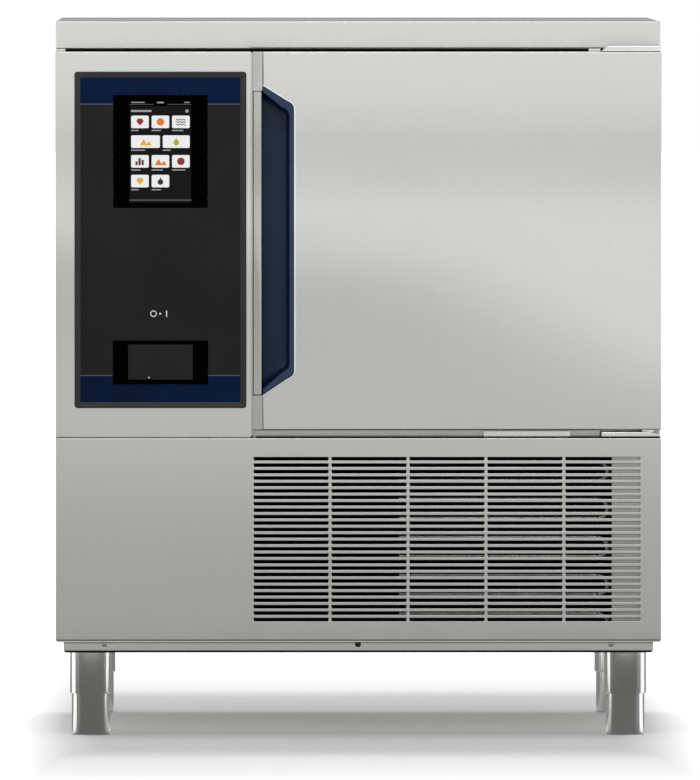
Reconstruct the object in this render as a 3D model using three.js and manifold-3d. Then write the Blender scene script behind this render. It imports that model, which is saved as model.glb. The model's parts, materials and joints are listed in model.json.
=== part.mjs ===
// Blast chiller: an insulated chamber for six levels of trays over a cooling unit,
// with a side-hung door on the right and a control panel on the left.
// Millimetres. +X to the right, +Y to the back, +Z up, origin on the floor under the middle.
import * as THREE from 'three';
import { mergeVertices } from 'three/addons/utils/BufferGeometryUtils.js';
import Module from 'manifold-3d';

const wasm = await Module();
wasm.setup();

// ---- driving dimensions -------------------------------------------------------------

// whole appliance
const bodyWidth = 897;
const bodyDepth = 937; // front of the handle to the back of the side panels
const bodyHeight = 1060; // floor to worktop
const sheet = 2; // folded stainless sheet
const seat = 0.3; // gap between two pieces that rest on each other
const frontDepth = 73; // door and control box stand this far in front of the cabinet
const faceSetback = 2; // door and panel faces behind the handle and the bezel
const foldWidth = 12; // folded returns of the side panels
const rearPanelInset = 10;
const wallThickness = 60; // outer skin to the inside of the chamber
const roofThickness = 84; // worktop to the chamber's ceiling
const floorThickness = 52; // lower front panel's top edge to the chamber's floor

// legs and base
const legHeight = 127;
const sleeveHeight = 61;
const sleeveRadius = 31;
const sleeveWall = 2;
const footRadius = 28.4;
const footChamfer = 4;
const legInsetX = 51.5; // leg's centre from the side of the cabinet
const legInsetY = 102; // leg's centre from the front and the back
const trayHeight = 16.5;
const trayInset = 11.5;

// lower front and its grille
const lowerPanelHeight = 300.5;
const slotLength = 110.6;
const slotWeb = 4.8;
const slotHeight = 4.9;
const slotPitch = 9.53;
const slotRows = 26;
const slotColumns = 5;
const grilleRightMargin = 31.5;
const grilleTopMargin = 28.5;

// front openings and gaps
const sillHeight = 12;
const worktopHeight = 40;
const worktopGap = 4.6;
const doorGap = 2;
const sillSetback = 16;
const sillTopGap = 1.2; // under the door
const sillLugWidth = 128; // the forward lug of the sill, beside the lower hinge
const sillLugMargin = 135; // from the right side
const sillLugSetback = 3;

// control box
const controlWidth = 290;
const bezelLeftMargin = 28.2;
const bezelRightMargin = 7.4;
const bezelTopMargin = 29.1;
const bezelBottomMargin = 44.2;
const bezelWidth = 6.2;
const bezelLip = 3; // bezel over the edge of the glass
const glassRebate = 1.5;
const bezelCorner = 7;
const glassThickness = 4;
const glassSetback = 1.2; // glass behind the front of the bezel
const displayWidth = 139.8;
const displayHeight = 167.2;
const displayTopMargin = 28.5;
const displayThickness = 12;
const bayWidth = 141;
const bayHeight = 65;
const bayBottomMargin = 28.9;
const bayDepth = 32;
const flapWidth = 95.7;
const flapHeight = 52;
const flapThickness = 4;
const flapGap = 1.2;
const flapPocketDepth = 15;
const trunnionRadius = 1.2;
const trunnionLength = 2.4;
const usbWidth = 14;
const usbHeight = 6.4;
const usbDepth = 14;
const flapSideGap = 1;
const flapLift = 1.7; // the flap sits a little above the middle of its bay
const boardWidth = 170;
const boardHeight = 150;
const boardThickness = 3;
const boardClearance = 2; // behind the service bay
const boardPostRadius = 3;
const boardPostInset = 8;
const chipHeight = 6;
const relayHeight = 18;

// door and handle
const doorThickness = 60;
const doorStripWidth = 15.2; // handle bar and edge strips, seen from the front
const handleTopMargin = 58.4;
const handleBottomMargin = 51.5;
const handleBarDepth = 20;
const pocketWidth = 46; // blue finger pocket, beside the bar
const pocketDepth = 39;
const pocketSlopeTop = 26.5;
const pocketSlopeBottom = 28.3;
const pocketRise = 8; // the pocket's upper end above the bar's upper end
const pocketWall = 2.5;
const pocketRim = 7;
const pocketCorner = 10;
const gasketWidth = 18;
const gasketOverlap = 4; // gasket's inner edge outside the chamber's opening
const doorMargin = 41.5; // door's left edge to the chamber's opening
const plugHeight = 7; // pressed inner panel of the door
const hingeInsetX = 22; // pin's axis from the door's right edge
const hingeInsetY = 28; // and from its front face
const pinRadius = 6;
const pinLength = 16;
const pinClearance = 0.5;
const hingePlateLength = 88;
const hingePlateThickness = 4;
const hingeTabLength = 56;
const hingePlateFront = 1; // behind the door's face
const lowerHingeHeight = 8.5;
const lowerHingeNose = [16, 5]; // the lower hinge plate's slanted right end
const hingeBossRadius = 11;
const handleBarCorner = 3;
const edgeSetback = 1.5; // door's edge strips behind the door's face

// chamber fittings
const chamberCorner = 20;
const jambDepth = 62; // front wall of the chamber behind the control box
const trayWidth = 400;
const trayDepth = 600;
const trayClearance = 5;
const trayPitch = 70;
const rackPost = 12;
const runnerWidth = 18;
const runnerThickness = 2;
const firstLevel = 34;
const shelfWire = 6;
const shelfCrossWire = 3;
const shelfCrossPitch = 48;
const plenumWidth = 70; // between the fan panel and the left rack
const evaporatorFanRadius = 150;
const evaporatorFanDepth = 40;
const fanTipGap = 8;
const fanHubRadius = 42;
const fanShaftRadius = 6;
const bladeThickness = 3;
const bladeCount = 5;
const evaporatorMotorLength = 38;
const motorRadius = 40;
const motorShaftLength = 20;
const guardBar = 3;
const guardPitch = 24;
const guardSpokes = 3;
const airSlotWidth = 20;
const airSlotMargin = 36; // from the fan panel's front and back edges
const airSlotEndMargin = 60;
const coilServiceSpace = 66; // valve and pipes at the evaporator's rear end
const finPitch = 22;
const finThickness = 4;
const finShare = 0.42; // of the coil's thickness, cut between the fins on either face
const bendRadius = 14;
const bendCount = 4;
const coilTube = 5;
const drainRadius = 16;
const glandRadius = 9;
const probeInset = 55; // probe gland from the chamber's mouth and from its ceiling

// cooling unit
const condenserWidth = 296;
const condenserDepth = 88;
const condenserRightMargin = 93.5;
const bendSpace = 20; // return bends between the coil and the side sheet
const condenserFanRadius = 120;
const condenserFanDepth = 42;
const condenserMotorLength = 54;
const compressorRadius = 92;
const compressorHeight = 232;
const compressorInsetX = 223.5; // from the left side of the cabinet
const compressorInsetY = 318.5; // from its back
const receiverRadius = 48;
const receiverHeight = 170;
const receiverOffsetX = 29; // to the left of the condenser
const receiverInsetY = 218.5; // from the back of the cabinet
const drierRadius = 17;
const drierHeight = 78;
const footPad = 14;
const electricalWidth = 236;
const electricalDepth = 120;
const electricalHeight = 250;
const cableHoleRadius = 14;
const pipeRadius = 6;
const suctionRadius = 9;
const pipeBend = 26;
const portInset = 32; // condenser's ports from its top and its bottom
const glandInsetX = 68.5;
const glandLift = 73; // mains inlet above the base tray's underside
const mainsGlandRadius = 13;

// rear louvres
const louvreLength = 220;
const louvreHeight = 7;
const louvrePitch = 20;
const louvreRows = 9;
const louvreColumns = 3;
const louvreWeb = 22;

// ---- levels and planes worked out from them -----------------------------------------

const right = bodyWidth / 2;
const left = -right;
const front = -bodyDepth / 2;
const back = bodyDepth / 2;
const faceY = front + faceSetback; // door and panel faces
const cabinetY = faceY + frontDepth; // front of the insulated cabinet
const trayTop = legHeight + trayHeight;
const panelBottom = trayTop + seat;
const panelTop = trayTop + lowerPanelHeight;
const doorBottom = panelTop + sillHeight;
const worktopBottom = bodyHeight - worktopHeight;
const cabinetTop = worktopBottom - seat;
const doorTop = worktopBottom - worktopGap;
const rearPanelBack = back - rearPanelInset;
const insulationBack = rearPanelBack - sheet - seat;

const controlRight = left + controlWidth;
const doorLeft = controlRight + doorGap;
const doorFaceLeft = doorLeft + doorStripWidth;
const doorBack = faceY + doorThickness;

const openingLeft = doorLeft + doorMargin;
const openingRight = right - wallThickness;
const chamberLeft = -openingRight;
const chamberBack = back - wallThickness;
const chamberFloor = panelTop + floorThickness;
const chamberCeiling = bodyHeight - roofThickness;
const jambBack = cabinetY + jambDepth;
const insulationBottom = panelTop + sheet + seat;

const hingeX = right - hingeInsetX;
const hingeY = faceY + hingeInsetY;

// ---- finishes -----------------------------------------------------------------------

function finish(color, roughness, metalness) {
  return () => new THREE.MeshStandardMaterial({ color, roughness, metalness });
}

const brushedSteel = finish(0xc4c4c0, 0.38, 1);
const polishedSteel = finish(0xd2d2d0, 0.16, 1);
const innerSteel = finish(0xcfd0ce, 0.3, 1);
const galvanisedSteel = finish(0xa4a8a8, 0.5, 1);
const darkPlastic = finish(0x242223, 0.42, 0);
const bluePlastic = finish(0x1d2a4a, 0.4, 0);
const blackGlass = finish(0x100f10, 0.12, 0);
const greyPlastic = finish(0x2c2c2d, 0.5, 0);
const rubber = finish(0x4a4b4c, 0.8, 0);
const foam = finish(0xcdbb86, 0.9, 0);
const circuitBoard = finish(0x1f5a38, 0.5, 0);
const aluminiumFins = finish(0xb8bcbe, 0.4, 1);
const copper = finish(0xb5673d, 0.35, 1);
const blackPaint = finish(0x17181a, 0.45, 0);
const whitePlastic = finish(0xd6d8d6, 0.5, 0);

// ---- shapes -------------------------------------------------------------------------

const upright = new THREE.Matrix4().makeBasis(
  new THREE.Vector3(0, 1, 0),
  new THREE.Vector3(0, 0, 1),
  new THREE.Vector3(1, 0, 0),
);

// a box between two limits along each axis
function block([x0, x1], [y0, y1], [z0, z1]) {
  const geometry = new THREE.BoxGeometry(x1 - x0, y1 - y0, z1 - z0);
  return geometry.translate((x0 + x1) / 2, (y0 + y1) / 2, (z0 + z1) / 2);
}

// an outline in XY, XZ or YZ, carried along the axis that is left
function prism(outline, axis, from, to) {
  const options = { depth: to - from, bevelEnabled: false, curveSegments: 4 };
  const geometry = new THREE.ExtrudeGeometry(outline, options);
  if (axis === 'z') return geometry.translate(0, 0, from);
  if (axis === 'y') return geometry.rotateX(Math.PI / 2).translate(0, to, 0);
  return geometry.applyMatrix4(upright).translate(from, 0, 0);
}

// a round bar along an axis, with its centre given by the two other coordinates
function rod(axis, radius, from, to, [a, b] = [0, 0], sides = 20) {
  const geometry = new THREE.CylinderGeometry(radius, radius, to - from, sides);
  const middle = (from + to) / 2;
  if (axis === 'x') return geometry.rotateZ(Math.PI / 2).translate(middle, a, b);
  if (axis === 'y') return geometry.translate(a, middle, b);
  return geometry.rotateX(Math.PI / 2).translate(a, b, middle);
}

// a turned piece about Z, from a profile of [radius, height] that starts and ends on the axis
function turned(profile, sides = 20) {
  const points = profile.map(([radius, height]) => new THREE.Vector2(radius, height));
  return new THREE.LatheGeometry(points, sides).rotateX(Math.PI / 2);
}

// a round pipe through the given points, with every corner bent
function pipe(points, radius, sides = 6, stepLength = 24) {
  const corners = points.map((point) => new THREE.Vector3(...point));
  const path = new THREE.CurvePath();
  let start = corners[0];
  for (let i = 1; i < corners.length - 1; i += 1) {
    const halfBefore = corners[i].distanceTo(start) / 2;
    const halfAfter = corners[i].distanceTo(corners[i + 1]) / 2;
    const reach = Math.min(pipeBend, halfBefore, halfAfter);
    const before = corners[i].clone().add(start.clone().sub(corners[i]).setLength(reach));
    const after = corners[i].clone().add(corners[i + 1].clone().sub(corners[i]).setLength(reach));
    path.add(new THREE.LineCurve3(start, before));
    path.add(new THREE.QuadraticBezierCurve3(before, corners[i], after));
    start = after;
  }
  path.add(new THREE.LineCurve3(start, corners.at(-1)));
  const section = new THREE.Shape();
  for (let i = 0; i < sides; i += 1) {
    const turn = (i / sides) * 2 * Math.PI;
    if (i === 0) section.moveTo(radius, 0);
    else section.lineTo(radius * Math.cos(turn), radius * Math.sin(turn));
  }
  const steps = Math.max(6, Math.round(path.getLength() / stepLength));
  return new THREE.ExtrudeGeometry(section, { steps, extrudePath: path, bevelEnabled: false });
}

function outlineOf(points) {
  const shape = new THREE.Shape();
  points.forEach(([u, v], index) => (index ? shape.lineTo(u, v) : shape.moveTo(u, v)));
  return shape;
}

// a rectangle with round corners
function roundedOutline([u0, u1], [v0, v1], radius) {
  const shape = new THREE.Shape();
  shape.moveTo(u0 + radius, v0);
  shape.lineTo(u1 - radius, v0);
  shape.absarc(u1 - radius, v0 + radius, radius, -Math.PI / 2, 0);
  shape.lineTo(u1, v1 - radius);
  shape.absarc(u1 - radius, v1 - radius, radius, 0, Math.PI / 2);
  shape.lineTo(u0 + radius, v1);
  shape.absarc(u0 + radius, v1 - radius, radius, Math.PI / 2, Math.PI);
  shape.lineTo(u0, v0 + radius);
  shape.absarc(u0 + radius, v0 + radius, radius, Math.PI, 1.5 * Math.PI);
  return shape;
}

function asSolid(geometry) {
  const bare = geometry.clone();
  bare.deleteAttribute('normal');
  bare.deleteAttribute('uv');
  const merged = mergeVertices(bare, 1e-4);
  return new wasm.Manifold(new wasm.Mesh({
    numProp: 3,
    vertProperties: Float32Array.from(merged.attributes.position.array),
    triVerts: Uint32Array.from(merged.index.array),
  }));
}

function asGeometry(solid) {
  const mesh = solid.getMesh();
  const geometry = new THREE.BufferGeometry();
  geometry.setAttribute('position', new THREE.BufferAttribute(mesh.vertProperties, 3));
  geometry.setIndex(new THREE.BufferAttribute(mesh.triVerts, 1));
  geometry.computeVertexNormals();
  return geometry;
}

function joined(...geometries) {
  return asGeometry(geometries.map(asSolid).reduce((sum, next) => sum.add(next)));
}

function cut(base, ...tools) {
  return asGeometry(tools.map(asSolid).reduce((rest, tool) => rest.subtract(tool), asSolid(base)));
}

function piece(name, geometry, material, parent) {
  const mesh = new THREE.Mesh(geometry, material());
  mesh.name = name;
  parent.add(mesh);
  return mesh;
}

function assembly(parent, x = 0, y = 0, z = 0) {
  const group = new THREE.Group();
  group.position.set(x, y, z);
  parent.add(group);
  return group;
}

// ---- cabinet ------------------------------------------------------------------------

// the chamber's plan: it runs behind the control box and opens to the front beside it
function chamberPlan(offset, frontY) {
  const r = chamberCorner + offset;
  const x0 = chamberLeft - offset;
  const x1 = openingRight + offset;
  const y0 = jambBack - offset;
  const y1 = chamberBack + offset;
  const mouth = openingLeft - offset;
  const shape = new THREE.Shape();
  shape.moveTo(mouth, frontY);
  shape.lineTo(x1, frontY);
  shape.lineTo(x1, y1 - r);
  shape.absarc(x1 - r, y1 - r, r, 0, Math.PI / 2);
  shape.lineTo(x0 + r, y1);
  shape.absarc(x0 + r, y1 - r, r, Math.PI / 2, Math.PI);
  shape.lineTo(x0, y0 + r);
  shape.absarc(x0 + r, y0 + r, r, Math.PI, 1.5 * Math.PI);
  shape.lineTo(mouth, y0);
  return shape;
}

function makeWorktop() {
  const outer = prism(roundedOutline([left, right], [cabinetY, back], 3), 'z', worktopBottom, bodyHeight);
  const inside = block(
    [left + sheet, right - sheet],
    [cabinetY + sheet, back - sheet],
    [worktopBottom - 1, bodyHeight - sheet],
  );
  return cut(outer, inside);
}

// side panel for the right, folded in at the front and the back, with a ledge for the insulated body
function makeSidePanel() {
  const height = [panelBottom, cabinetTop];
  const skin = block([right - sheet, right], [cabinetY, back], height);
  const frontFold = block([right - foldWidth, right], [cabinetY, cabinetY + sheet], height);
  const rearFold = block([right - foldWidth, right], [back - sheet, back], height);
  const ledge = block(
    [right - foldWidth - sheet, right - sheet / 2],
    [cabinetY + sheet + seat, insulationBack],
    [panelTop, panelTop + sheet],
  );
  return joined(skin, frontFold, rearFold, ledge);
}

// frame round the chamber's mouth, with a notch at the top right for the hinge's tab
function makeFrontFrame() {
  const width = right - foldWidth - seat;
  const plate = block([-width, width], [cabinetY, cabinetY + sheet], [panelTop + seat, cabinetTop]);
  const notch = block([hingePlateLeft, right], [cabinetY - 1, cabinetY + sheet + 1], [doorTop, bodyHeight]);
  const mouth = block(
    [openingLeft, openingRight],
    [cabinetY - 1, cabinetY + sheet + 1],
    [chamberFloor, chamberCeiling],
  );
  return cut(plate, mouth, notch);
}

const linerFront = cabinetY + sheet + seat;
const drainX = (openingLeft + openingRight) / 2;
const drainY = 0;
const suctionHoleX = chamberLeft + 2 * chamberCorner;
const liquidHoleX = suctionHoleX + 3 * suctionRadius + 2 * pipeRadius;
const serviceHoleY = chamberBack - coilServiceSpace / 2;
const holeClearance = 2;

// the openings in the chamber's floor for the drain and the two refrigerant pipes
function floorHoles(clearance, from, to) {
  return [
    rod('z', drainRadius + clearance, from, to, [drainX, drainY], 16),
    rod('z', pipeRadius + clearance, from, to, [liquidHoleX, serviceHoleY], 12),
    rod('z', suctionRadius + clearance, from, to, [suctionHoleX, serviceHoleY], 12),
  ];
}

function makeChamberLiner() {
  const outer = prism(chamberPlan(sheet, linerFront), 'z', chamberFloor - sheet, chamberCeiling + sheet);
  const inner = prism(chamberPlan(0, linerFront - 1), 'z', chamberFloor, chamberCeiling);
  return cut(outer, inner, ...floorHoles(2 * seat, chamberFloor - 2 * sheet, chamberFloor + 1));
}

function makeCabinetInsulation() {
  const gap = sheet + seat;
  const outer = block(
    [left + gap, right - gap],
    [linerFront, insulationBack],
    [insulationBottom, bodyHeight - gap],
  );
  const hollow = prism(chamberPlan(gap, linerFront - 1), 'z', chamberFloor - gap, chamberCeiling + gap);
  const hingeSlot = block(
    [hingePlateLeft, right],
    [linerFront - 1, cabinetY + hingeTabLength + 2 * seat],
    [doorTop, worktopBottom],
  );
  return cut(outer, hollow, hingeSlot, ...floorHoles(holeClearance, insulationBottom - 1, chamberFloor));
}

function makeRearPanel() {
  const width = right - sheet - seat;
  const plate = block([-width, width], [rearPanelBack - sheet, rearPanelBack], [panelBottom, cabinetTop]);
  const slots = [];
  const throughPlate = [rearPanelBack - 2 * sheet, rearPanelBack + 1];
  const span = louvreColumns * louvreLength + (louvreColumns - 1) * louvreWeb;
  for (let column = 0; column < louvreColumns; column += 1) {
    const x = -span / 2 + column * (louvreLength + louvreWeb);
    for (let row = 0; row < louvreRows; row += 1) {
      const z = panelBottom + (lowerPanelHeight - (louvreRows - 1) * louvrePitch) / 2 + row * louvrePitch;
      slots.push(block([x, x + louvreLength], throughPlate, [z, z + louvreHeight]));
    }
  }
  const glandHole = rod('y', glandStemRadius + seat, ...throughPlate, [glandX, glandZ], 12);
  const drainHole = rod('y', drainRadius + 2 * seat, ...throughPlate, [drainX, drainOutletZ], 16);
  return cut(plate, ...slots, glandHole, drainHole);
}

const trayFloor = legHeight + sheet;

// shallow tray that carries the cooling unit, with a flange under the panels
function makeBaseTray() {
  const outer = block(
    [left + trayInset, right - trayInset],
    [faceY + trayInset, back - trayInset],
    [legHeight, trayTop],
  );
  const flange = block([left + 1, right - 1], [faceY + 1, back - 1], [trayTop - sheet, trayTop]);
  const inside = block(
    [left + trayInset + sheet, right - trayInset - sheet],
    [faceY + trayInset + sheet, back - trayInset - sheet],
    [trayFloor, trayTop + 1],
  );
  return cut(joined(outer, flange), inside);
}

const grilleRight = right - grilleRightMargin;

// folded front of the cooling unit, with the air grille
function makeLowerFrontPanel() {
  const outer = block([left, right], [faceY, cabinetY - seat], [panelBottom, panelTop]);
  const inside = block(
    [left + sheet, right - sheet],
    [faceY + sheet, cabinetY + 1],
    [panelBottom + sheet, panelTop - sheet],
  );
  const under = block(
    [left + trayInset + foldWidth, right - trayInset - foldWidth],
    [faceY + trayInset + foldWidth, cabinetY + 1],
    [panelBottom - 1, panelBottom + sheet + 1],
  );
  const slots = [];
  for (let column = 0; column < slotColumns; column += 1) {
    const x = grilleRight - column * (slotLength + slotWeb) - slotLength;
    for (let row = 0; row < slotRows; row += 1) {
      const z = panelTop - grilleTopMargin - row * slotPitch;
      slots.push(block([x, x + slotLength], [faceY - 1, faceY + sheet + 1], [z - slotHeight, z]));
    }
  }
  return cut(outer, inside, under, ...slots);
}

const hingePlateLeft = right - sheet / 2 - hingePlateLength;
const sillFront = faceY + sillSetback;
const sillLugRight = right - sillLugMargin;

// the strip under the door, with the forward lug beside the lower hinge
function makeDoorSill() {
  const low = panelTop + seat;
  const high = doorBottom - sillTopGap;
  const strip = block([doorLeft, hingePlateLeft - 2], [sillFront, sillFront + sheet], [low, high]);
  const shelf = block([doorLeft, hingePlateLeft - 2], [sillFront, cabinetY - seat], [low, low + sheet]);
  const lugLeft = sillLugRight - sillLugWidth;
  const lug = block([lugLeft, sillLugRight], [faceY + sillLugSetback, sillFront + 1], [low + 1, high - 1]);
  return joined(strip, shelf, lug);
}

// ---- control box --------------------------------------------------------------------

const bezelLeft = left + bezelLeftMargin;
const bezelRight = controlRight - bezelRightMargin;
const bezelTop = doorTop - bezelTopMargin;
const bezelBottom = panelTop + bezelBottomMargin;
const glassLeft = bezelLeft + bezelWidth;
const glassRight = bezelRight - bezelWidth;
const glassTop = bezelTop - bezelWidth;
const glassBottom = bezelBottom + bezelWidth;
const glassFront = front + glassSetback;
const glassBack = glassFront + glassThickness;
const glassMiddle = (glassLeft + glassRight) / 2;
const displayTop = glassTop - displayTopMargin;
const displayBottom = displayTop - displayHeight;
const bayBottom = glassBottom + bayBottomMargin;
const bayTop = bayBottom + bayHeight;

function makeControlHousing() {
  const outer = block([left, controlRight], [faceY, cabinetY - seat], [panelTop + seat, doorTop]);
  const inside = block(
    [left + sheet, controlRight - sheet],
    [faceY + sheet, cabinetY + 1],
    [panelTop + seat + sheet, doorTop - sheet],
  );
  const window = block([glassLeft, glassRight], [faceY - 1, faceY + sheet + 1], [glassBottom, glassTop]);
  return cut(outer, inside, window);
}

function makeControlBezel() {
  const face = roundedOutline([bezelLeft, bezelRight], [bezelBottom, bezelTop], bezelCorner);
  const collar = block(
    [glassLeft + seat, glassRight - seat],
    [faceY - seat, glassBack + 2 * sheet],
    [glassBottom + seat, glassTop - seat],
  );
  const opening = block(
    [glassLeft + bezelLip, glassRight - bezelLip],
    [front - 1, glassBack + 3 * sheet],
    [glassBottom + bezelLip, glassTop - bezelLip],
  );
  const glassSeat = block(
    [glassLeft + glassRebate, glassRight - glassRebate],
    [glassFront, glassBack + 3 * sheet],
    [glassBottom + glassRebate, glassTop - glassRebate],
  );
  return cut(joined(prism(face, 'y', front, faceY - seat), collar), opening, glassSeat);
}

function makeControlGlass() {
  const inset = glassRebate + seat;
  const plate = block(
    [glassLeft + inset, glassRight - inset],
    [glassFront + seat, glassBack],
    [glassBottom + inset, glassTop - inset],
  );
  const displayHole = block(
    [glassMiddle - displayWidth / 2, glassMiddle + displayWidth / 2],
    [glassFront - 1, glassBack + 1],
    [displayBottom, displayTop],
  );
  const bayHole = block(
    [glassMiddle - bayWidth / 2, glassMiddle + bayWidth / 2],
    [glassFront - 1, glassBack + 1],
    [bayBottom, bayTop],
  );
  return cut(plate, displayHole, bayHole);
}

function makeDisplay() {
  const halfWidth = displayWidth / 2 - seat;
  return block(
    [glassMiddle - halfWidth, glassMiddle + halfWidth],
    [glassFront + seat, glassFront + seat + displayThickness],
    [displayBottom + seat, displayTop - seat],
  );
}

// circuit board on four posts, behind the display and the service bay, with its larger parts
function makeControlBoard() {
  const y = glassFront + seat + bayDepth + boardClearance;
  const z0 = (displayBottom + bayTop) / 2 - boardHeight / 2;
  const x0 = glassMiddle - boardWidth / 2;
  const plate = block([x0, x0 + boardWidth], [y, y + boardThickness], [z0, z0 + boardHeight]);
  const posts = [];
  for (const x of [x0 + boardPostInset, x0 + boardWidth - boardPostInset]) {
    for (const z of [z0 + boardPostInset, z0 + boardHeight - boardPostInset]) {
      posts.push(rod('y', boardPostRadius, glassBack + seat, y + 1, [x, z], 8));
    }
  }
  const component = ([u0, u1], [v0, v1], height) => block(
    [x0 + u0 * boardWidth, x0 + u1 * boardWidth],
    [y + 1, y + boardThickness + height],
    [z0 + v0 * boardHeight, z0 + v1 * boardHeight],
  );
  const chip = component([0.18, 0.41], [0.4, 0.67], chipHeight);
  const relay = component([0.56, 0.88], [0.13, 0.4], relayHeight);
  return joined(plate, ...posts, chip, relay);
}

const pocketTop = bayBottom + (bayHeight + flapHeight) / 2 + flapLift;
const flapTop = pocketTop - flapGap;
const pivotY = glassFront + seat + flapThickness / 2;
const pivotZ = flapTop - flapThickness / 2;
const bayFloorY = glassFront + seat + flapPocketDepth;

// service bay in the glass, with a pocket for the flap and a socket behind it
function makeServiceBay() {
  const halfWidth = bayWidth / 2 - seat;
  const body = block(
    [glassMiddle - halfWidth, glassMiddle + halfWidth],
    [glassFront + seat, glassFront + seat + bayDepth],
    [bayBottom + seat, bayTop - seat],
  );
  const halfPocket = flapWidth / 2 + flapSideGap;
  const pocket = block(
    [glassMiddle - halfPocket, glassMiddle + halfPocket],
    [glassFront - 1, bayFloorY],
    [flapTop - flapHeight - flapGap, pocketTop],
  );
  const socketZ = bayBottom + bayHeight / 2;
  const socket = block(
    [glassMiddle - usbWidth / 2, glassMiddle + usbWidth / 2],
    [bayFloorY - 1, bayFloorY + usbDepth],
    [socketZ - usbHeight / 2, socketZ + usbHeight / 2],
  );
  const halfPin = halfPocket + trunnionLength;
  const bearings = rod(
    'x',
    trunnionRadius + seat,
    glassMiddle - halfPin,
    glassMiddle + halfPin,
    [pivotY, pivotZ],
    12,
  );
  return cut(body, pocket, socket, bearings);
}

function makeServiceFlap() {
  const half = flapWidth / 2;
  const plate = block(
    [-half, half],
    [-flapThickness / 2, flapThickness / 2],
    [flapThickness / 2 - flapHeight, flapThickness / 2],
  );
  const pins = rod('x', trunnionRadius, -half - trunnionLength, half + trunnionLength, [0, 0], 12);
  return joined(plate, pins);
}

// ---- door ---------------------------------------------------------------------------

const barTop = doorTop - handleTopMargin;
const barBottom = doorBottom + handleBottomMargin;

// the finger pocket's outline from the front, grown by an offset
function pocketOutline(offset, x0 = doorFaceLeft) {
  const x1 = doorFaceLeft + pocketWidth + offset;
  const slantedOffset = offset * 1.3; // the sloping sides move out by about as much
  const top = barTop + pocketRise + slantedOffset;
  const bottom = barBottom - slantedOffset;
  const r = pocketCorner;
  const shape = new THREE.Shape();
  shape.moveTo(x0, bottom);
  shape.lineTo(doorFaceLeft, bottom);
  shape.lineTo(x1 - r, bottom + pocketSlopeBottom - r * 0.35);
  shape.quadraticCurveTo(x1, bottom + pocketSlopeBottom, x1, bottom + pocketSlopeBottom + r);
  shape.lineTo(x1, top - pocketSlopeTop - r);
  shape.quadraticCurveTo(x1, top - pocketSlopeTop, x1 - r, top - pocketSlopeTop + r * 0.35);
  shape.lineTo(doorFaceLeft, top);
  shape.lineTo(x0, top);
  return shape;
}

const pocketBack = faceY + pocketDepth;

// the space taken out of the door for the pocket and for the fingers behind the bar
function pocketSpace(offset, from) {
  const beside = prism(pocketOutline(offset, doorFaceLeft - 1), 'y', from, pocketBack + offset);
  const behindBar = block(
    [doorLeft - 1, doorFaceLeft + 1],
    [from, pocketBack + offset],
    [barBottom - offset, barTop + offset],
  );
  return joined(beside, behindBar);
}

function hingeHoles(radius) {
  return [
    rod('z', radius, doorTop - pinLength - 1, doorTop + 1, [hingeX, hingeY], 16),
    rod('z', radius, doorBottom - 1, doorBottom + pinLength + 1, [hingeX, hingeY], 16),
  ];
}

const linerPlateFront = doorBack - sheet;

function makeDoorSkin() {
  const outer = block([doorFaceLeft, right], [faceY, linerPlateFront - seat], [doorBottom, doorTop]);
  const inside = block(
    [doorFaceLeft + sheet, right - sheet],
    [faceY + sheet, linerPlateFront + 1],
    [doorBottom + sheet, doorTop - sheet],
  );
  return cut(outer, inside, pocketSpace(seat, faceY - 1), ...hingeHoles(pinRadius + pinClearance));
}

function makeDoorInsulation() {
  const gap = sheet + seat;
  const body = block(
    [doorFaceLeft + gap, right - gap],
    [faceY + gap, linerPlateFront - seat],
    [doorBottom + gap, doorTop - gap],
  );
  return cut(body, pocketSpace(2 * seat, faceY - 1), ...hingeHoles(pinRadius + pinClearance));
}

const gasketInner = {
  left: openingLeft - gasketOverlap,
  right: openingRight + gasketOverlap,
  bottom: chamberFloor - gasketOverlap,
  top: chamberCeiling + gasketOverlap,
};

// inner panel of the door, pressed out inside the gasket
function makeDoorLiner() {
  const plate = block([doorLeft, right], [linerPlateFront, doorBack], [doorBottom, doorTop]);
  const plug = block(
    [gasketInner.left + 1, gasketInner.right - 1],
    [linerPlateFront, doorBack + plugHeight],
    [gasketInner.bottom + 1, gasketInner.top - 1],
  );
  const press = block(
    [gasketInner.left + 1 + sheet, gasketInner.right - 1 - sheet],
    [linerPlateFront - 1, doorBack + plugHeight - sheet],
    [gasketInner.bottom + 1 + sheet, gasketInner.top - 1 - sheet],
  );
  return cut(joined(plate, plug), press);
}

function makeDoorGasket() {
  const { left: x0, right: x1, bottom: z0, top: z1 } = gasketInner;
  const ring = block(
    [x0 - gasketWidth, x1 + gasketWidth],
    [doorBack + seat, cabinetY - seat],
    [z0 - gasketWidth, z1 + gasketWidth],
  );
  return cut(ring, block([x0, x1], [doorBack - 1, cabinetY + 1], [z0, z1]));
}

function makeHandleBar() {
  const depth = [front, front + handleBarDepth];
  const outline = roundedOutline([doorLeft, doorFaceLeft - seat], depth, handleBarCorner);
  return prism(outline, 'z', barBottom + seat, barTop - seat);
}

// blue tray behind the bar and beside it: a back wall, a side wall and a rim
function makeHandlePocket() {
  const back0 = pocketBack - pocketWall;
  const tray = prism(pocketOutline(0), 'y', faceY - 0.5, pocketBack);
  const hollow = prism(pocketOutline(-pocketRim, doorFaceLeft - 1), 'y', faceY - 1.5, back0);
  const behindBar = block(
    [doorLeft, doorFaceLeft + 1],
    [back0, pocketBack],
    [barBottom + seat, barTop - seat],
  );
  return joined(cut(tray, hollow), behindBar);
}

// the door's left edge: one profile over its whole height, cut away behind the handle bar
function makeDoorEdge() {
  const profile = block(
    [doorLeft, doorFaceLeft - seat],
    [faceY + edgeSetback, linerPlateFront - seat],
    [doorBottom, doorTop],
  );
  return cut(profile, pocketSpace(seat, faceY - 1));
}

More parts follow.
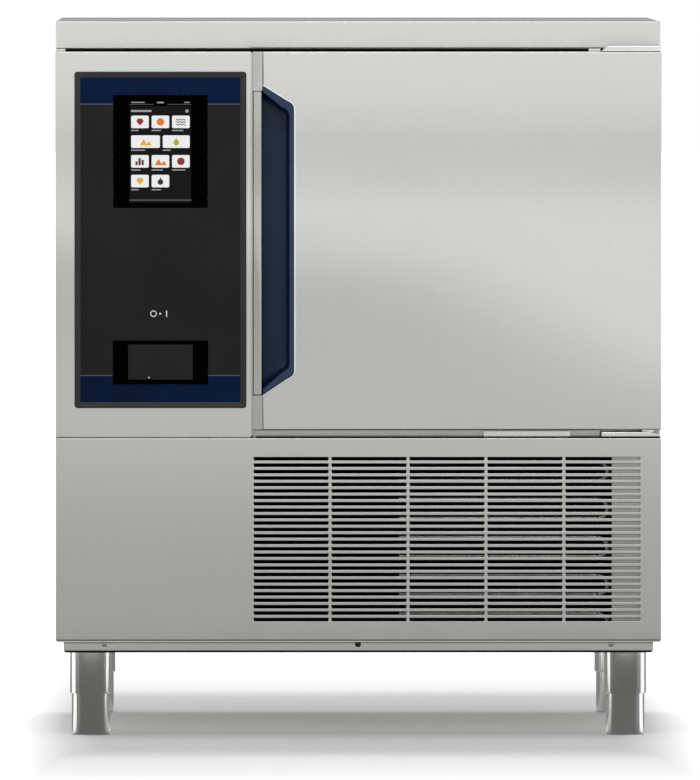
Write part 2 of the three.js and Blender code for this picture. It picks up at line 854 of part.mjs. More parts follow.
// hinge plate for the top, with its slanted end, its tab under the worktop and its welded pin
function makeTopHinge() {
  const x0 = hingePlateLeft;
  const x1 = right - sheet / 2;
  const z0 = doorTop + seat;
  const z1 = worktopBottom + hingePlateThickness + seat;
  const profile = outlineOf([[x0, z0], [x1, z0], [x1, z1], [x0 + (z1 - z0), z1]]);
  const plate = prism(profile, 'y', faceY + hingePlateFront, cabinetY - seat);
  const tabX = [x0 + 3 * hingePlateThickness, right - foldWidth - 2 * seat];
  const tab = block(tabX, [cabinetY - 1, cabinetY + hingeTabLength], [z0, worktopBottom - seat]);
  const pin = rod('z', pinRadius, doorTop - pinLength, z0 + 1, [hingeX, hingeY], 16);
  return joined(plate, tab, pin);
}

function makeBottomHinge() {
  const x0 = hingePlateLeft;
  const x1 = right - sheet / 2;
  const z0 = panelTop + seat;
  const z1 = z0 + lowerHingeHeight;
  const [noseLength, noseHeight] = lowerHingeNose;
  const nose = [[x1, z0], [x1, z0 + noseHeight], [x1 - noseLength, z1]];
  const profile = outlineOf([[x0, z0], ...nose, [x0, z1]]);
  const plate = prism(profile, 'y', faceY + hingePlateFront, cabinetY - seat);
  const boss = rod('z', hingeBossRadius, z0 + 1, doorBottom - seat, [hingeX, hingeY], 16);
  const pin = rod('z', pinRadius, z0 + 1, doorBottom + pinLength, [hingeX, hingeY], 16);
  return joined(plate, boss, pin);
}

// ---- chamber fittings ---------------------------------------------------------------

const rackRightX = openingRight - seat;
const rackSpan = trayWidth + 2 * trayClearance;
const rackLeftX = rackRightX - 2 * rackPost - rackSpan;
const fanPanelX = rackLeftX - plenumWidth;
const rackBack = chamberBack - chamberCorner;
const rackFront = rackBack - trayDepth - 2 * trayClearance;
const levelCount = Math.floor((chamberCeiling - chamberFloor - firstLevel - trayPitch / 2) / trayPitch) + 1;

function levelZ(level) {
  return chamberFloor + firstLevel + level * trayPitch;
}

// one rack: three posts and the runners, reaching to the right from x = 0
function makeRack() {
  const z0 = chamberFloor + seat;
  const z1 = chamberCeiling - seat;
  const bars = [];
  const middle = (rackFront + rackBack) / 2;
  for (const y of [rackFront, middle - rackPost / 2, rackBack - rackPost]) {
    bars.push(block([0, rackPost], [y, y + rackPost], [z0, z1]));
  }
  for (let level = 0; level < levelCount; level += 1) {
    const z = levelZ(level);
    const runner = [rackPost - 1, rackPost + runnerWidth];
    bars.push(block(runner, [rackFront, rackBack], [z - runnerThickness, z]));
  }
  return joined(...bars);
}

function makeShelf() {
  const w = trayWidth / 2;
  const d = trayDepth / 2;
  const ring = cut(
    block([-w, w], [-d, d], [0, shelfWire]),
    block([-w + shelfWire, w - shelfWire], [-d + shelfWire, d - shelfWire], [-1, shelfWire + 1]),
  );
  const wires = [];
  const count = Math.floor((trayDepth - 2 * shelfWire) / shelfCrossPitch);
  const z = (shelfWire - shelfCrossWire) / 2 + 1;
  for (let i = 1; i < count; i += 1) {
    const y = -d + (i * trayDepth) / count;
    const length = [-w + shelfWire / 2, w - shelfWire / 2];
    wires.push(block(length, [y, y + shelfCrossWire], [z, z + shelfCrossWire]));
  }
  const stay = block([-shelfWire / 2, shelfWire / 2], [-d + 1, d - 1], [z + 1 - shelfWire, z + 1]);
  return joined(ring, stay, ...wires);
}

const fanY = (jambBack + chamberBack) / 2;
const fanZ = (chamberFloor + chamberCeiling) / 2;
const fanPanelFront = jambBack + chamberCorner + seat;

// panel between the trays and the fan, with a guard in its round hole that carries the motor
function makeFanPanel() {
  const x0 = fanPanelX - sheet;
  const plate = block(
    [x0, fanPanelX],
    [fanPanelFront, rackBack],
    [chamberFloor + seat, chamberCeiling - seat],
  );
  const hole = rod('x', evaporatorFanRadius + fanTipGap, x0 - 1, fanPanelX + 1, [fanY, fanZ], 32);
  const slotHeights = [chamberFloor + airSlotEndMargin, chamberCeiling - airSlotEndMargin];
  const airSlots = [];
  for (const y of [fanPanelFront + airSlotMargin, rackBack - airSlotMargin - airSlotWidth]) {
    airSlots.push(block([x0 - 1, fanPanelX + 1], [y, y + airSlotWidth], slotHeights));
  }
  const hub = rod('x', motorRadius - guardBar, x0, fanPanelX, [fanY, fanZ], 16);
  const rings = [];
  for (let r = motorRadius + guardPitch; r < evaporatorFanRadius; r += 2 * guardPitch) {
    rings.push(cut(
      rod('x', r + guardBar, x0, fanPanelX, [fanY, fanZ], 16),
      rod('x', r, x0 - 1, fanPanelX + 1, [fanY, fanZ], 16),
    ));
  }
  const spokes = [];
  const reach = evaporatorFanRadius + fanTipGap + 2 * sheet;
  for (let i = 0; i < guardSpokes; i += 1) {
    const bar = block([x0, fanPanelX], [-reach, reach], [-guardBar, guardBar]);
    spokes.push(bar.rotateX((i * Math.PI) / guardSpokes).translate(0, fanY, fanZ));
  }
  return joined(cut(plate, hole, ...airSlots), hub, ...rings, ...spokes);
}

// an axial fan about +Y, its hub open at the back for the motor's shaft
function makeFan(radius, depth) {
  const hub = rod('y', fanHubRadius, 0, depth, [0, 0], 20);
  const blades = [];
  const root = 6; // a blade's end inside the hub
  const length = radius - fanHubRadius + root;
  const pitch = Math.PI / 5;
  const chord = (depth - 2 * bladeThickness) / Math.sin(pitch) - bladeThickness;
  for (let i = 0; i < bladeCount; i += 1) {
    const blade = new THREE.BoxGeometry(length, bladeThickness, Math.min(chord, fanHubRadius * 1.7));
    blade.rotateX(pitch).translate(fanHubRadius - root + length / 2, depth / 2, 0);
    blades.push(blade.rotateY((i * 2 * Math.PI) / bladeCount));
  }
  const bore = rod('y', fanShaftRadius + pinClearance, -1, depth * 0.8, [0, 0], 12);
  return cut(joined(hub, ...blades), bore);
}

// a motor that stands along +Y from its mounting face, with its shaft at the far end
function makeMotor(length) {
  const can = rod('y', motorRadius, 0, length, [0, 0], 20);
  const shaft = rod('y', fanShaftRadius, length - 1, length + motorShaftLength, [0, 0], 12);
  return joined(can, shaft);
}

const motorGap = 3;
const evaporatorStack = seat + evaporatorMotorLength + motorGap + evaporatorFanDepth;
const coilGap = 12;
const evaporatorRight = fanPanelX - sheet - evaporatorStack - coilGap;
const evaporatorLeft = chamberLeft + coilGap;

// a finned coil: end plates, fins cut into both faces of a core, and return bends at one end
// its length runs along the first range, its thickness along the second
function makeCoil([u0, u1], [v0, v1], [z0, z1]) {
  const points = [[u0, v0], [u0, v1]];
  const lead = 2 * finThickness;
  const count = Math.floor((u1 - u0 - 2 * lead) / finPitch);
  const first = u0 + (u1 - u0 - (count - 1) * finPitch - (finPitch - finThickness)) / 2;
  const depth = (v1 - v0) * finShare;
  const gapWidth = finPitch - finThickness;
  for (let i = 0; i < count; i += 1) {
    const u = first + i * finPitch;
    points.push([u, v1], [u, v1 - depth], [u + gapWidth, v1 - depth], [u + gapWidth, v1]);
  }
  points.push([u1, v1], [u1, v0]);
  for (let i = count - 1; i >= 0; i -= 1) {
    const u = first + i * finPitch;
    points.push([u + gapWidth, v0], [u + gapWidth, v0 + depth], [u, v0 + depth], [u, v0]);
  }
  return prism(outlineOf(points.reverse()), 'z', z0, z1);
}

// return bends on the end of a coil, at u = 0 and reaching to +u
function returnBends(v, [z0, z1], count) {
  const bends = [];
  const step = (z1 - z0) / count;
  for (let i = 0; i < count; i += 1) {
    const z = z0 + (i + 0.5) * step;
    const path = new THREE.CatmullRomCurve3([
      new THREE.Vector3(-4, v, z - bendRadius),
      new THREE.Vector3(bendRadius * 0.9, v, z - bendRadius * 0.8),
      new THREE.Vector3(bendRadius * 0.9, v, z + bendRadius * 0.8),
      new THREE.Vector3(-4, v, z + bendRadius),
    ]);
    const section = new THREE.Shape();
    section.absarc(0, 0, coilTube, 0, 2 * Math.PI);
    bends.push(new THREE.ExtrudeGeometry(section, {
      steps: 5,
      curveSegments: 3,
      extrudePath: path,
      bevelEnabled: false,
    }));
  }
  return bends;
}

const coilFront = jambBack + chamberCorner + bendRadius + coilTube + seat;
const coilBack = chamberBack - coilServiceSpace;

// the evaporator stands on the chamber's floor behind the fan
function makeEvaporator() {
  const z0 = chamberFloor + seat;
  const z1 = chamberCeiling - 2 * coilGap;
  const core = makeCoil([coilFront, coilBack], [-evaporatorRight, -evaporatorLeft], [z0, z1]);
  core.rotateZ(Math.PI / 2);
  const v = (evaporatorLeft + evaporatorRight) / 2;
  const bends = returnBends(v, [z0, z1], bendCount);
  bends.forEach((bend) => bend.applyMatrix4(swapXY).translate(0, coilFront, 0));
  return joined(core, ...bends);
}

// turns a bend that reaches to +X into one that reaches to -Y
const swapXY = new THREE.Matrix4().makeBasis(
  new THREE.Vector3(0, -1, 0),
  new THREE.Vector3(1, 0, 0),
  new THREE.Vector3(0, 0, 1),
);

const valveRadius = 13;
const valveZ = chamberFloor + 70;
const suctionZ = chamberFloor + 40;
const valveHeight = 46;
const valveHeadHeight = 10;

// the valve at the top of the liquid line, with its outlet into the coil
function makeExpansionValve() {
  const body = rod('z', valveRadius, valveZ, valveZ + valveHeight, [liquidHoleX, serviceHoleY], 14);
  const headTop = valveZ + valveHeight + valveHeadHeight;
  const headRadius = 1.45 * valveRadius;
  const head = rod('z', headRadius, valveZ + valveHeight - 1, headTop, [liquidHoleX, serviceHoleY], 14);
  const outletZ = valveZ + valveHeight / 2;
  const outlet = rod('y', pipeRadius, coilBack + seat, serviceHoleY, [liquidHoleX, outletZ], 8);
  return joined(body, head, outlet);
}

// gland for the core probe's cable, on the chamber's right wall
function makeProbeGland() {
  const nutHeight = 5;
  const nut = rod('x', 1.45 * glandRadius, -nutHeight, 0, [0, 0], 6);
  const nose = rod('x', glandRadius, -3 * nutHeight, -nutHeight + 1, [0, 0], 12);
  return joined(nut, nose);
}

const drainDrop = 60;
const drainOutletZ = insulationBottom - drainDrop;

function makeDrainPipe() {
  return pipe(
    [
      [drainX, drainY, chamberFloor - 2 * seat],
      [drainX, drainY, drainOutletZ],
      [drainX, back - sheet, drainOutletZ],
    ],
    drainRadius,
    10,
    40,
  );
}

// ---- cooling unit -------------------------------------------------------------------

const unitInset = trayInset + foldWidth + 2 * seat; // inside the lower panel's bottom fold
const unitFront = faceY + unitInset;
const condenserRight = right - condenserRightMargin;
const condenserLeft = condenserRight - condenserWidth;
const condenserBack = unitFront + condenserDepth;
const condenserTopGap = 10;
const condenserTop = panelTop - sheet - condenserTopGap;
const condenserX = (condenserLeft + condenserRight) / 2;
const condenserZ = (trayFloor + condenserTop) / 2;
const compressorX = left + compressorInsetX;
const compressorY = back - compressorInsetY;
const receiverX = condenserLeft - receiverOffsetX;
const receiverY = back - receiverInsetY;
const glandX = right - glandInsetX;
const glandZ = legHeight + glandLift;
const glandStemRadius = mainsGlandRadius - sheet;

function makeCondenser() {
  const z0 = trayFloor + seat;
  const core = makeCoil([condenserLeft, condenserRight], [unitFront, condenserBack], [z0, condenserTop]);
  const v = (unitFront + condenserBack) / 2;
  const bends = returnBends(v, [z0, condenserTop], bendCount);
  bends.forEach((bend) => bend.translate(condenserRight, 0, 0));
  return joined(core, ...bends);
}

const shroudFront = condenserBack + seat;
const ductLength = condenserFanDepth + 12;
const fanRecess = 6; // the fan's front behind the shroud's plate
const motorFace = shroudFront + sheet + fanRecess + condenserFanDepth + motorGap;
const armWidth = 12;
const armThickness = 4;

// plate behind the condenser with a round duct for the fan and four arms for its motor
function makeFanShroud() {
  const z0 = trayFloor + seat;
  const at = [condenserX, condenserZ];
  const sideX = condenserRight + bendSpace;
  const lipFront = faceY + 3 * sheet;
  const lipBottom = panelBottom + 2 * sheet;
  const plate = block([condenserLeft, sideX + sheet], [shroudFront, shroudFront + sheet], [z0, condenserTop]);
  const sideSheet = block([sideX, sideX + sheet], [lipFront, shroudFront + 1], [lipBottom, condenserTop]);
  const lipRight = right - trayInset - 2 * sheet;
  const frontLip = block([sideX, lipRight], [lipFront, lipFront + sheet], [lipBottom, condenserTop]);
  const radius = condenserFanRadius + fanTipGap;
  const duct = rod('y', radius + sheet, shroudFront, shroudFront + ductLength, at, 32);
  const bore = rod('y', radius, shroudFront - 1, shroudFront + ductLength + 1, at, 32);
  const arms = [];
  const armFront = shroudFront + ductLength - armThickness;
  const armFace = motorFace + condenserMotorLength + seat;
  const armBack = armFace + armThickness;
  const armReach = radius + sheet + armThickness;
  const halfArm = armWidth / 2;
  for (let i = 0; i < 4; i += 1) {
    const turn = Math.PI / 4 + (i * Math.PI) / 2;
    const leg = block([radius + sheet / 2, armReach], [armFront, armBack], [-halfArm, halfArm]);
    const bar = block([0, armReach], [armFace, armBack], [-halfArm, halfArm]);
    arms.push(leg.rotateY(turn).translate(condenserX, 0, condenserZ));
    arms.push(bar.rotateY(turn).translate(condenserX, 0, condenserZ));
  }
  const pad = rod('y', motorRadius - halfArm, armFace, armBack, at, 16);
  return joined(cut(joined(plate, duct), bore), sideSheet, frontLip, pad, ...arms);
}

const padHeight = 16;
const stubReach = 18;
const footPlateMargin = 8;
const footPlateThickness = 7;

// hermetic compressor with its domed can, its foot plate, terminal box and two pipe stubs
function makeCompressor() {
  const r = compressorRadius;
  const h = compressorHeight;
  const can = turned([
    [0, padHeight],
    [r * 0.82, padHeight],
    [r, h * 0.16],
    [r, h * 0.78],
    [r * 0.86, h * 0.9],
    [r * 0.5, h * 0.98],
    [0, h],
  ], 20);
  const plateReach = r + footPlateMargin;
  const plateTop = padHeight + footPlateThickness / 2;
  const plate = block(
    [-plateReach, plateReach],
    [-plateReach, plateReach],
    [plateTop - footPlateThickness, plateTop],
  );
  const pads = [];
  for (const x of [-r + footPad, r - footPad]) {
    for (const y of [-r + footPad, r - footPad]) {
      pads.push(rod('z', footPad, 0, padHeight - 2, [x, y], 12));
    }
  }
  const box = block([-1.28 * r, -0.87 * r], [-0.37 * r, 0.37 * r], [h * 0.45, h * 0.75]);
  const discharge = rod('x', pipeRadius + sheet, 0.9 * r, r + stubReach, [dischargeStubY, stubZ], 10);
  const suction = rod('y', suctionRadius + sheet, 0.9 * r, r + stubReach, [suctionStubX, stubZ], 10);
  return joined(can, plate, ...pads, box, discharge, suction);
}

const stubZ = compressorHeight * 0.62;
const dischargeStubY = -20;
const suctionStubX = -20;
const stubEnd = compressorRadius + stubReach;

// upright receiver on a foot ring, with its inlet and outlet at the top
function makeReceiver() {
  const r = receiverRadius;
  const h = receiverHeight;
  const can = turned([
    [0, h * 0.08],
    [r * 0.7, h * 0.1],
    [r, h * 0.2],
    [r, h * 0.82],
    [r * 0.7, h * 0.95],
    [0, h],
  ], 16);
  const foot = rod('z', r * 0.8, 0, h * 0.12, [0, 0], 12);
  const portZ = [0.88 * h, h + receiverPortHeight];
  const outlet = rod('z', pipeRadius + sheet, ...portZ, [receiverPortX, 0], 10);
  const inlet = rod('z', pipeRadius + sheet, ...portZ, [-receiverPortX, 0], 10);
  return joined(can, foot, outlet, inlet);
}

const receiverPortX = receiverRadius * 0.45;
const receiverPortHeight = 14;

function makeFilterDrier() {
  const r = drierRadius;
  const h = drierHeight;
  const neck = pipeRadius + 1;
  return turned([
    [0, 0],
    [neck, 0],
    [neck, h * 0.13],
    [r, h * 0.28],
    [r, h * 0.72],
    [neck, h * 0.87],
    [neck, h],
    [0, h],
  ], 16);
}

const receiverTop = trayFloor + seat + receiverHeight + receiverPortHeight;
const drierTop = receiverTop + seat + drierHeight;

function makeDischargePipe() {
  const x0 = compressorX + stubEnd + seat;
  const y0 = compressorY + dischargeStubY;
  const z0 = trayFloor + seat + stubZ;
  const z1 = condenserTop - portInset;
  const v = condenserBack - coilGap;
  const x1 = x0 + pipeBend + pipeRadius;
  return pipe(
    [
      [x0, y0, z0],
      [x1, y0, z0],
      [x1, y0, z1],
      [x1, v, z1],
      [condenserLeft - seat, v, z1],
    ],
    pipeRadius,
  );
}

function makeCondenserReturn() {
  const z0 = trayFloor + portInset;
  const v = condenserBack - coilGap;
  const x0 = condenserLeft - pipeBend - 2 * pipeRadius;
  const x1 = receiverX - receiverPortX;
  const z1 = receiverTop + portInset;
  const y1 = receiverY - receiverRadius - portInset;
  return pipe(
    [
      [condenserLeft - seat, v, z0],
      [x0, v, z0],
      [x0, y1, z0],
      [x0, y1, z1],
      [x1, receiverY, z1],
      [x1, receiverY, receiverTop + seat],
    ],
    pipeRadius,
  );
}

// from the drier up through the chamber's floor to the valve
function makeLiquidPipe() {
  const x0 = receiverX + receiverPortX;
  const z1 = insulationBottom - pipeBend;
  return pipe(
    [
      [x0, receiverY, drierTop + seat],
      [x0, receiverY, z1],
      [x0, serviceHoleY, z1],
      [liquidHoleX, serviceHoleY, z1],
      [liquidHoleX, serviceHoleY, valveZ - seat],
    ],
    pipeRadius,
  );
}

// from the evaporator down through the chamber's floor to the compressor
function makeSuctionPipe() {
  const x1 = compressorX + suctionStubX;
  const y1 = compressorY + stubEnd + seat;
  const z1 = trayFloor + seat + stubZ;
  return pipe(
    [
      [suctionHoleX, coilBack + seat, suctionZ],
      [suctionHoleX, serviceHoleY, suctionZ],
      [suctionHoleX, serviceHoleY, z1],
      [x1, serviceHoleY, z1],
      [x1, y1, z1],
    ],
    suctionRadius,
  );
}

// sheet box for the contactors, with a cable opening at its back
function makeElectricalBox() {
  const x0 = left + unitInset;
  const y0 = faceY + unitInset;
  const z0 = trayFloor + seat;
  const outer = block([x0, x0 + electricalWidth], [y0, y0 + electricalDepth], [z0, z0 + electricalHeight]);
  const inside = block(
    [x0 + sheet, x0 + electricalWidth - sheet],
    [y0 + sheet, y0 + electricalDepth - sheet],
    [z0 + sheet, z0 + electricalHeight - sheet],
  );
  const y1 = y0 + electricalDepth;
  const holeAt = [x0 + 3 * cableHoleRadius, z0 + 4 * cableHoleRadius];
  const cableHole = rod('y', cableHoleRadius, y1 - sheet - 1, y1 + 1, holeAt, 12);
  return cut(outer, inside, cableHole);
}

// cable inlet in the rear panel
function makeMainsGland() {
  const nutHeight = 8;
  const lockNutBack = -sheet - seat;
  const nut = rod('y', mainsGlandRadius, seat, nutHeight, [0, 0], 6);
  const stem = rod('y', glandStemRadius, -2 * nutHeight, 1, [0, 0], 12);
  const lockNut = rod('y', mainsGlandRadius, lockNutBack - nutHeight, lockNutBack, [0, 0], 6);
  return joined(nut, stem, lockNut);
}

// ---- legs ---------------------------------------------------------------------------

const legSides = 24;
const sleeveTop = legHeight - seat;
const sleeveBottom = sleeveTop - sleeveHeight;
const footTop = sleeveTop - 2 * sleeveWall - seat;

function makeSleeve() {
  const outer = rod('z', sleeveRadius, sleeveBottom, sleeveTop, [0, 0], legSides);
  const bore = rod('z', sleeveRadius - sleeveWall, sleeveBottom - 1, footTop + seat, [0, 0], legSides);
  return cut(outer, bore);
}

function makeFoot() {
  const r = footRadius;
  return turned([[0, 0], [r - footChamfer, 0], [r, footChamfer], [r, footTop], [0, footTop]], legSides);
}

// ---- the whole appliance ------------------------------------------------------------

const blastChiller = new THREE.Group();

const cabinet = assembly(blastChiller);
piece('worktop', makeWorktop(), brushedSteel, cabinet);
piece('side_panel_right', makeSidePanel(), brushedSteel, cabinet);
const leftSide = piece('side_panel_left', makeSidePanel(), brushedSteel, cabinet);
leftSide.geometry = mirrored(leftSide.geometry);
piece('rear_panel', makeRearPanel(), galvanisedSteel, cabinet);
piece('front_frame', makeFrontFrame(), innerSteel, cabinet);
piece('chamber_liner', makeChamberLiner(), innerSteel, cabinet);
piece('cabinet_insulation', makeCabinetInsulation(), foam, cabinet);
piece('base_tray', makeBaseTray(), brushedSteel, cabinet);
piece('lower_front_panel', makeLowerFrontPanel(), brushedSteel, cabinet);
piece('door_sill', makeDoorSill(), innerSteel, cabinet);
piece('top_hinge_plate', makeTopHinge(), polishedSteel, cabinet);
piece('bottom_hinge_plate', makeBottomHinge(), polishedSteel, cabinet);

const controls = assembly(blastChiller);
piece('control_housing', makeControlHousing(), brushedSteel, controls);
piece('control_bezel', makeControlBezel(), darkPlastic, controls);
piece('control_glass', makeControlGlass(), blackGlass, controls);
piece('display_screen', makeDisplay(), blackGlass, controls);
piece('control_board', makeControlBoard(), circuitBoard, controls);
piece('service_bay', makeServiceBay(), blackGlass, controls);
const flapHinge = assembly(controls, glassMiddle, pivotY, pivotZ);
piece('service_flap', makeServiceFlap(), greyPlastic, flapHinge);

const door = assembly(blastChiller);
piece('door_skin', makeDoorSkin(), brushedSteel, door);
piece('door_insulation', makeDoorInsulation(), foam, door);
piece('door_liner', makeDoorLiner(), innerSteel, door);
piece('door_gasket', makeDoorGasket(), rubber, door);
piece('handle_bar', makeHandleBar(), polishedSteel, door);
piece('handle_pocket', makeHandlePocket(), bluePlastic, door);
piece('door_edge', makeDoorEdge(), brushedSteel, door);

const fittings = assembly(blastChiller);
const leftRack = piece('tray_rack_left', makeRack(), innerSteel, fittings);
leftRack.position.x = rackLeftX;
const rightRack = piece('tray_rack_right', makeRack(), innerSteel, fittings);
rightRack.geometry = mirrored(rightRack.geometry);
rightRack.position.x = rackRightX;
const shelfLevels = { lower: 0, middle: Math.floor(levelCount / 2), upper: levelCount - 1 };
for (const [place, level] of Object.entries(shelfLevels)) {
  const shelf = piece(`wire_shelf_${place}`, makeShelf(), polishedSteel, fittings);
  shelf.position.set((rackLeftX + rackRightX) / 2, (rackFront + rackBack) / 2, levelZ(level) + seat);
}
piece('fan_panel', makeFanPanel(), innerSteel, fittings);
piece('evaporator_coil', makeEvaporator(), aluminiumFins, fittings);
piece('expansion_valve', makeExpansionValve(), copper, fittings);
piece('drain_pipe', makeDrainPipe(), whitePlastic, fittings);
const probeGland = piece('probe_gland', makeProbeGland(), darkPlastic, fittings);
probeGland.position.set(openingRight - seat, cabinetY + probeInset, chamberCeiling - probeInset);

// the evaporator's motor and fan stand to the left of the fan panel
const evaporatorFanSet = assembly(fittings, fanPanelX - sheet - seat, fanY, fanZ);
evaporatorFanSet.rotation.z = Math.PI / 2;
piece('evaporator_fan_motor', makeMotor(evaporatorMotorLength), galvanisedSteel, evaporatorFanSet);
const evaporatorFan = piece(
  'evaporator_fan',
  makeFan(evaporatorFanRadius, evaporatorFanDepth),
  darkPlastic,
  evaporatorFanSet,
);
evaporatorFan.position.y = evaporatorMotorLength + motorGap;

const coolingUnit = assembly(blastChiller);
piece('condenser_coil', makeCondenser(), aluminiumFins, coolingUnit);
piece('condenser_fan_shroud', makeFanShroud(), galvanisedSteel, coolingUnit);
const condenserFanSet = assembly(coolingUnit, condenserX, motorFace + condenserMotorLength, condenserZ);
condenserFanSet.rotation.z = Math.PI;
piece('condenser_fan_motor', makeMotor(condenserMotorLength), blackPaint, condenserFanSet);
const condenserFan = piece(
  'condenser_fan',
  makeFan(condenserFanRadius, condenserFanDepth),
  galvanisedSteel,
  condenserFanSet,
);
condenserFan.position.y = condenserMotorLength + motorGap;
const compressor = piece('compressor', makeCompressor(), blackPaint, coolingUnit);
compressor.position.set(compressorX, compressorY, trayFloor + seat);
const receiver = piece('liquid_receiver', makeReceiver(), blackPaint, coolingUnit);
receiver.position.set(receiverX, receiverY, trayFloor + seat);
const drier = piece('filter_drier', makeFilterDrier(), copper, coolingUnit);
drier.position.set(receiverX + receiverPortX, receiverY, receiverTop + seat);
piece('discharge_pipe', makeDischargePipe(), copper, coolingUnit);
piece('condenser_return_pipe', makeCondenserReturn(), copper, coolingUnit);
piece('liquid_pipe', makeLiquidPipe(), copper, coolingUnit);
piece('suction_pipe', makeSuctionPipe(), copper, coolingUnit);
piece('electrical_box', makeElectricalBox(), galvanisedSteel, coolingUnit);
const mainsGland = piece('mains_gland', makeMainsGland(), darkPlastic, coolingUnit);
mainsGland.position.set(glandX, rearPanelBack, glandZ);

const legs = assembly(blastChiller);
const legX = { left: left + legInsetX, right: right - legInsetX };
const legY = { front: front + legInsetY, rear: back - legInsetY };
for (const [end, y] of Object.entries(legY)) {
  for (const [side, x] of Object.entries(legX)) {
    const leg = assembly(legs, x, y);
    piece(`leg_sleeve_${end}_${side}`, makeSleeve(), polishedSteel, leg);
    piece(`leg_foot_${end}_${side}`, makeFoot(), polishedSteel, leg);
  }
}

// the same piece for the other side of the appliance
function mirrored(geometry) {
  const flipped = geometry.clone().scale(-1, 1, 1);
  const order = flipped.index.array;
  for (let i = 0; i < order.length; i += 3) {
    [order[i], order[i + 1]] = [order[i + 1], order[i]];
  }
  flipped.computeVertexNormals();
  return flipped;
}

export default blastChiller;
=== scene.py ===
import bpy
import bmesh
import json
import math
from mathutils import Matrix, Vector

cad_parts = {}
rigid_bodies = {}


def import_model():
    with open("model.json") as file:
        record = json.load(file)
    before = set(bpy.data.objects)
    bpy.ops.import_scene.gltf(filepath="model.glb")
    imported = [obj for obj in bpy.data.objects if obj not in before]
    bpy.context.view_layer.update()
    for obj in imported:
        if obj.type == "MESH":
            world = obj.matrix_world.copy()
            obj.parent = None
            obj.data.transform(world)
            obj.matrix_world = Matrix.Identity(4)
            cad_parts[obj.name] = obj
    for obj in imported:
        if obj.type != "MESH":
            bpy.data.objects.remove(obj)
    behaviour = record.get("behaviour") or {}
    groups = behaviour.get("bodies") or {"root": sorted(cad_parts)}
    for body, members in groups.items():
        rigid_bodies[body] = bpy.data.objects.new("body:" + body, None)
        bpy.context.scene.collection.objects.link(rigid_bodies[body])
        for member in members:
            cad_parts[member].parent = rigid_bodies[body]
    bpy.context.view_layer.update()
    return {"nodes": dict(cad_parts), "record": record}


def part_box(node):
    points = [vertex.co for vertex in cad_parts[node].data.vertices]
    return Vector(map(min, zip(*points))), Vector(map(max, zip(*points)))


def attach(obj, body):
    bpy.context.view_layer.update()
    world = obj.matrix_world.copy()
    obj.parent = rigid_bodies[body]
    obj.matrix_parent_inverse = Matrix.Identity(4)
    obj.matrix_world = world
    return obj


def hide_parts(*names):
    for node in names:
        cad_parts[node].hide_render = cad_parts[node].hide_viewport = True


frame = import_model()
slots = {entry["node"]: entry["material_slot"] for entry in frame["record"]["subparts"]}
print("frame loaded:", len(frame["nodes"]), "nodes")


def newMaterial(name):
    material = bpy.data.materials.new(name)
    material.use_nodes = True
    tree = material.node_tree
    tree.nodes.clear()
    output = tree.nodes.new("ShaderNodeOutputMaterial")
    shader = tree.nodes.new("ShaderNodeBsdfPrincipled")
    tree.links.new(shader.outputs["BSDF"], output.inputs["Surface"])
    return material, tree, shader


# object coordinates, stretched differently along each axis
def stretched(tree, scale):
    coordinates = tree.nodes.new("ShaderNodeTexCoord")
    mapping = tree.nodes.new("ShaderNodeMapping")
    mapping.inputs["Scale"].default_value = scale
    tree.links.new(coordinates.outputs["Object"], mapping.inputs["Vector"])
    return mapping.outputs["Vector"]


def noise(tree, scale, detail=3.0, stretch=(1, 1, 1)):
    node = tree.nodes.new("ShaderNodeTexNoise")
    node.inputs["Scale"].default_value = scale
    node.inputs["Detail"].default_value = detail
    tree.links.new(stretched(tree, stretch), node.inputs["Vector"])
    return node.outputs["Fac"]


def ramp(tree, source, low, high, start=0.35, end=0.65):
    node = tree.nodes.new("ShaderNodeValToRGB")
    node.color_ramp.elements[0].position = start
    node.color_ramp.elements[1].position = end
    node.color_ramp.elements[0].color = (*low, 1)
    node.color_ramp.elements[1].color = (*high, 1)
    tree.links.new(source, node.inputs["Fac"])
    return node.outputs["Color"]


def ranged(tree, source, low, high):
    node = tree.nodes.new("ShaderNodeMapRange")
    node.inputs["From Min"].default_value = 0.3
    node.inputs["From Max"].default_value = 0.7
    node.inputs["To Min"].default_value = low
    node.inputs["To Max"].default_value = high
    tree.links.new(source, node.inputs["Value"])
    return node.outputs["Result"]


def mixed(tree, first, second, share):
    node = tree.nodes.new("ShaderNodeMix")
    node.data_type = "FLOAT"
    node.inputs["Factor"].default_value = share
    tree.links.new(first, node.inputs[2])
    tree.links.new(second, node.inputs[3])
    return node.outputs[0]


def addBump(tree, shader, height, strength, distance):
    node = tree.nodes.new("ShaderNodeBump")
    node.inputs["Strength"].default_value = strength
    node.inputs["Distance"].default_value = distance
    tree.links.new(height, node.inputs["Height"])
    tree.links.new(node.outputs["Normal"], shader.inputs["Normal"])


def shade(colour, factor):
    return tuple(min(1.0, channel * factor) for channel in colour)


# the tone follows one pattern and the roughness another, each within its limits
def colourAndWear(tree, shader, tone, colour, spread, wear, roughness, shares):
    low, high = shade(colour, 1 - spread), shade(colour, 1 + spread)
    tree.links.new(ramp(tree, tone, low, high), shader.inputs["Base Color"])
    low, high = [roughness * share for share in shares]
    tree.links.new(ranged(tree, wear, low, high), shader.inputs["Roughness"])


brushing = {
    "across": 900.0,  # fine lines per metre
    "along": 6.0,
    "cloud": 2.2,
    "cloudShare": 0.45,
    "smudge": 17.0,
    "smudgeShare": 0.4,
    "bump": 0.05,
}


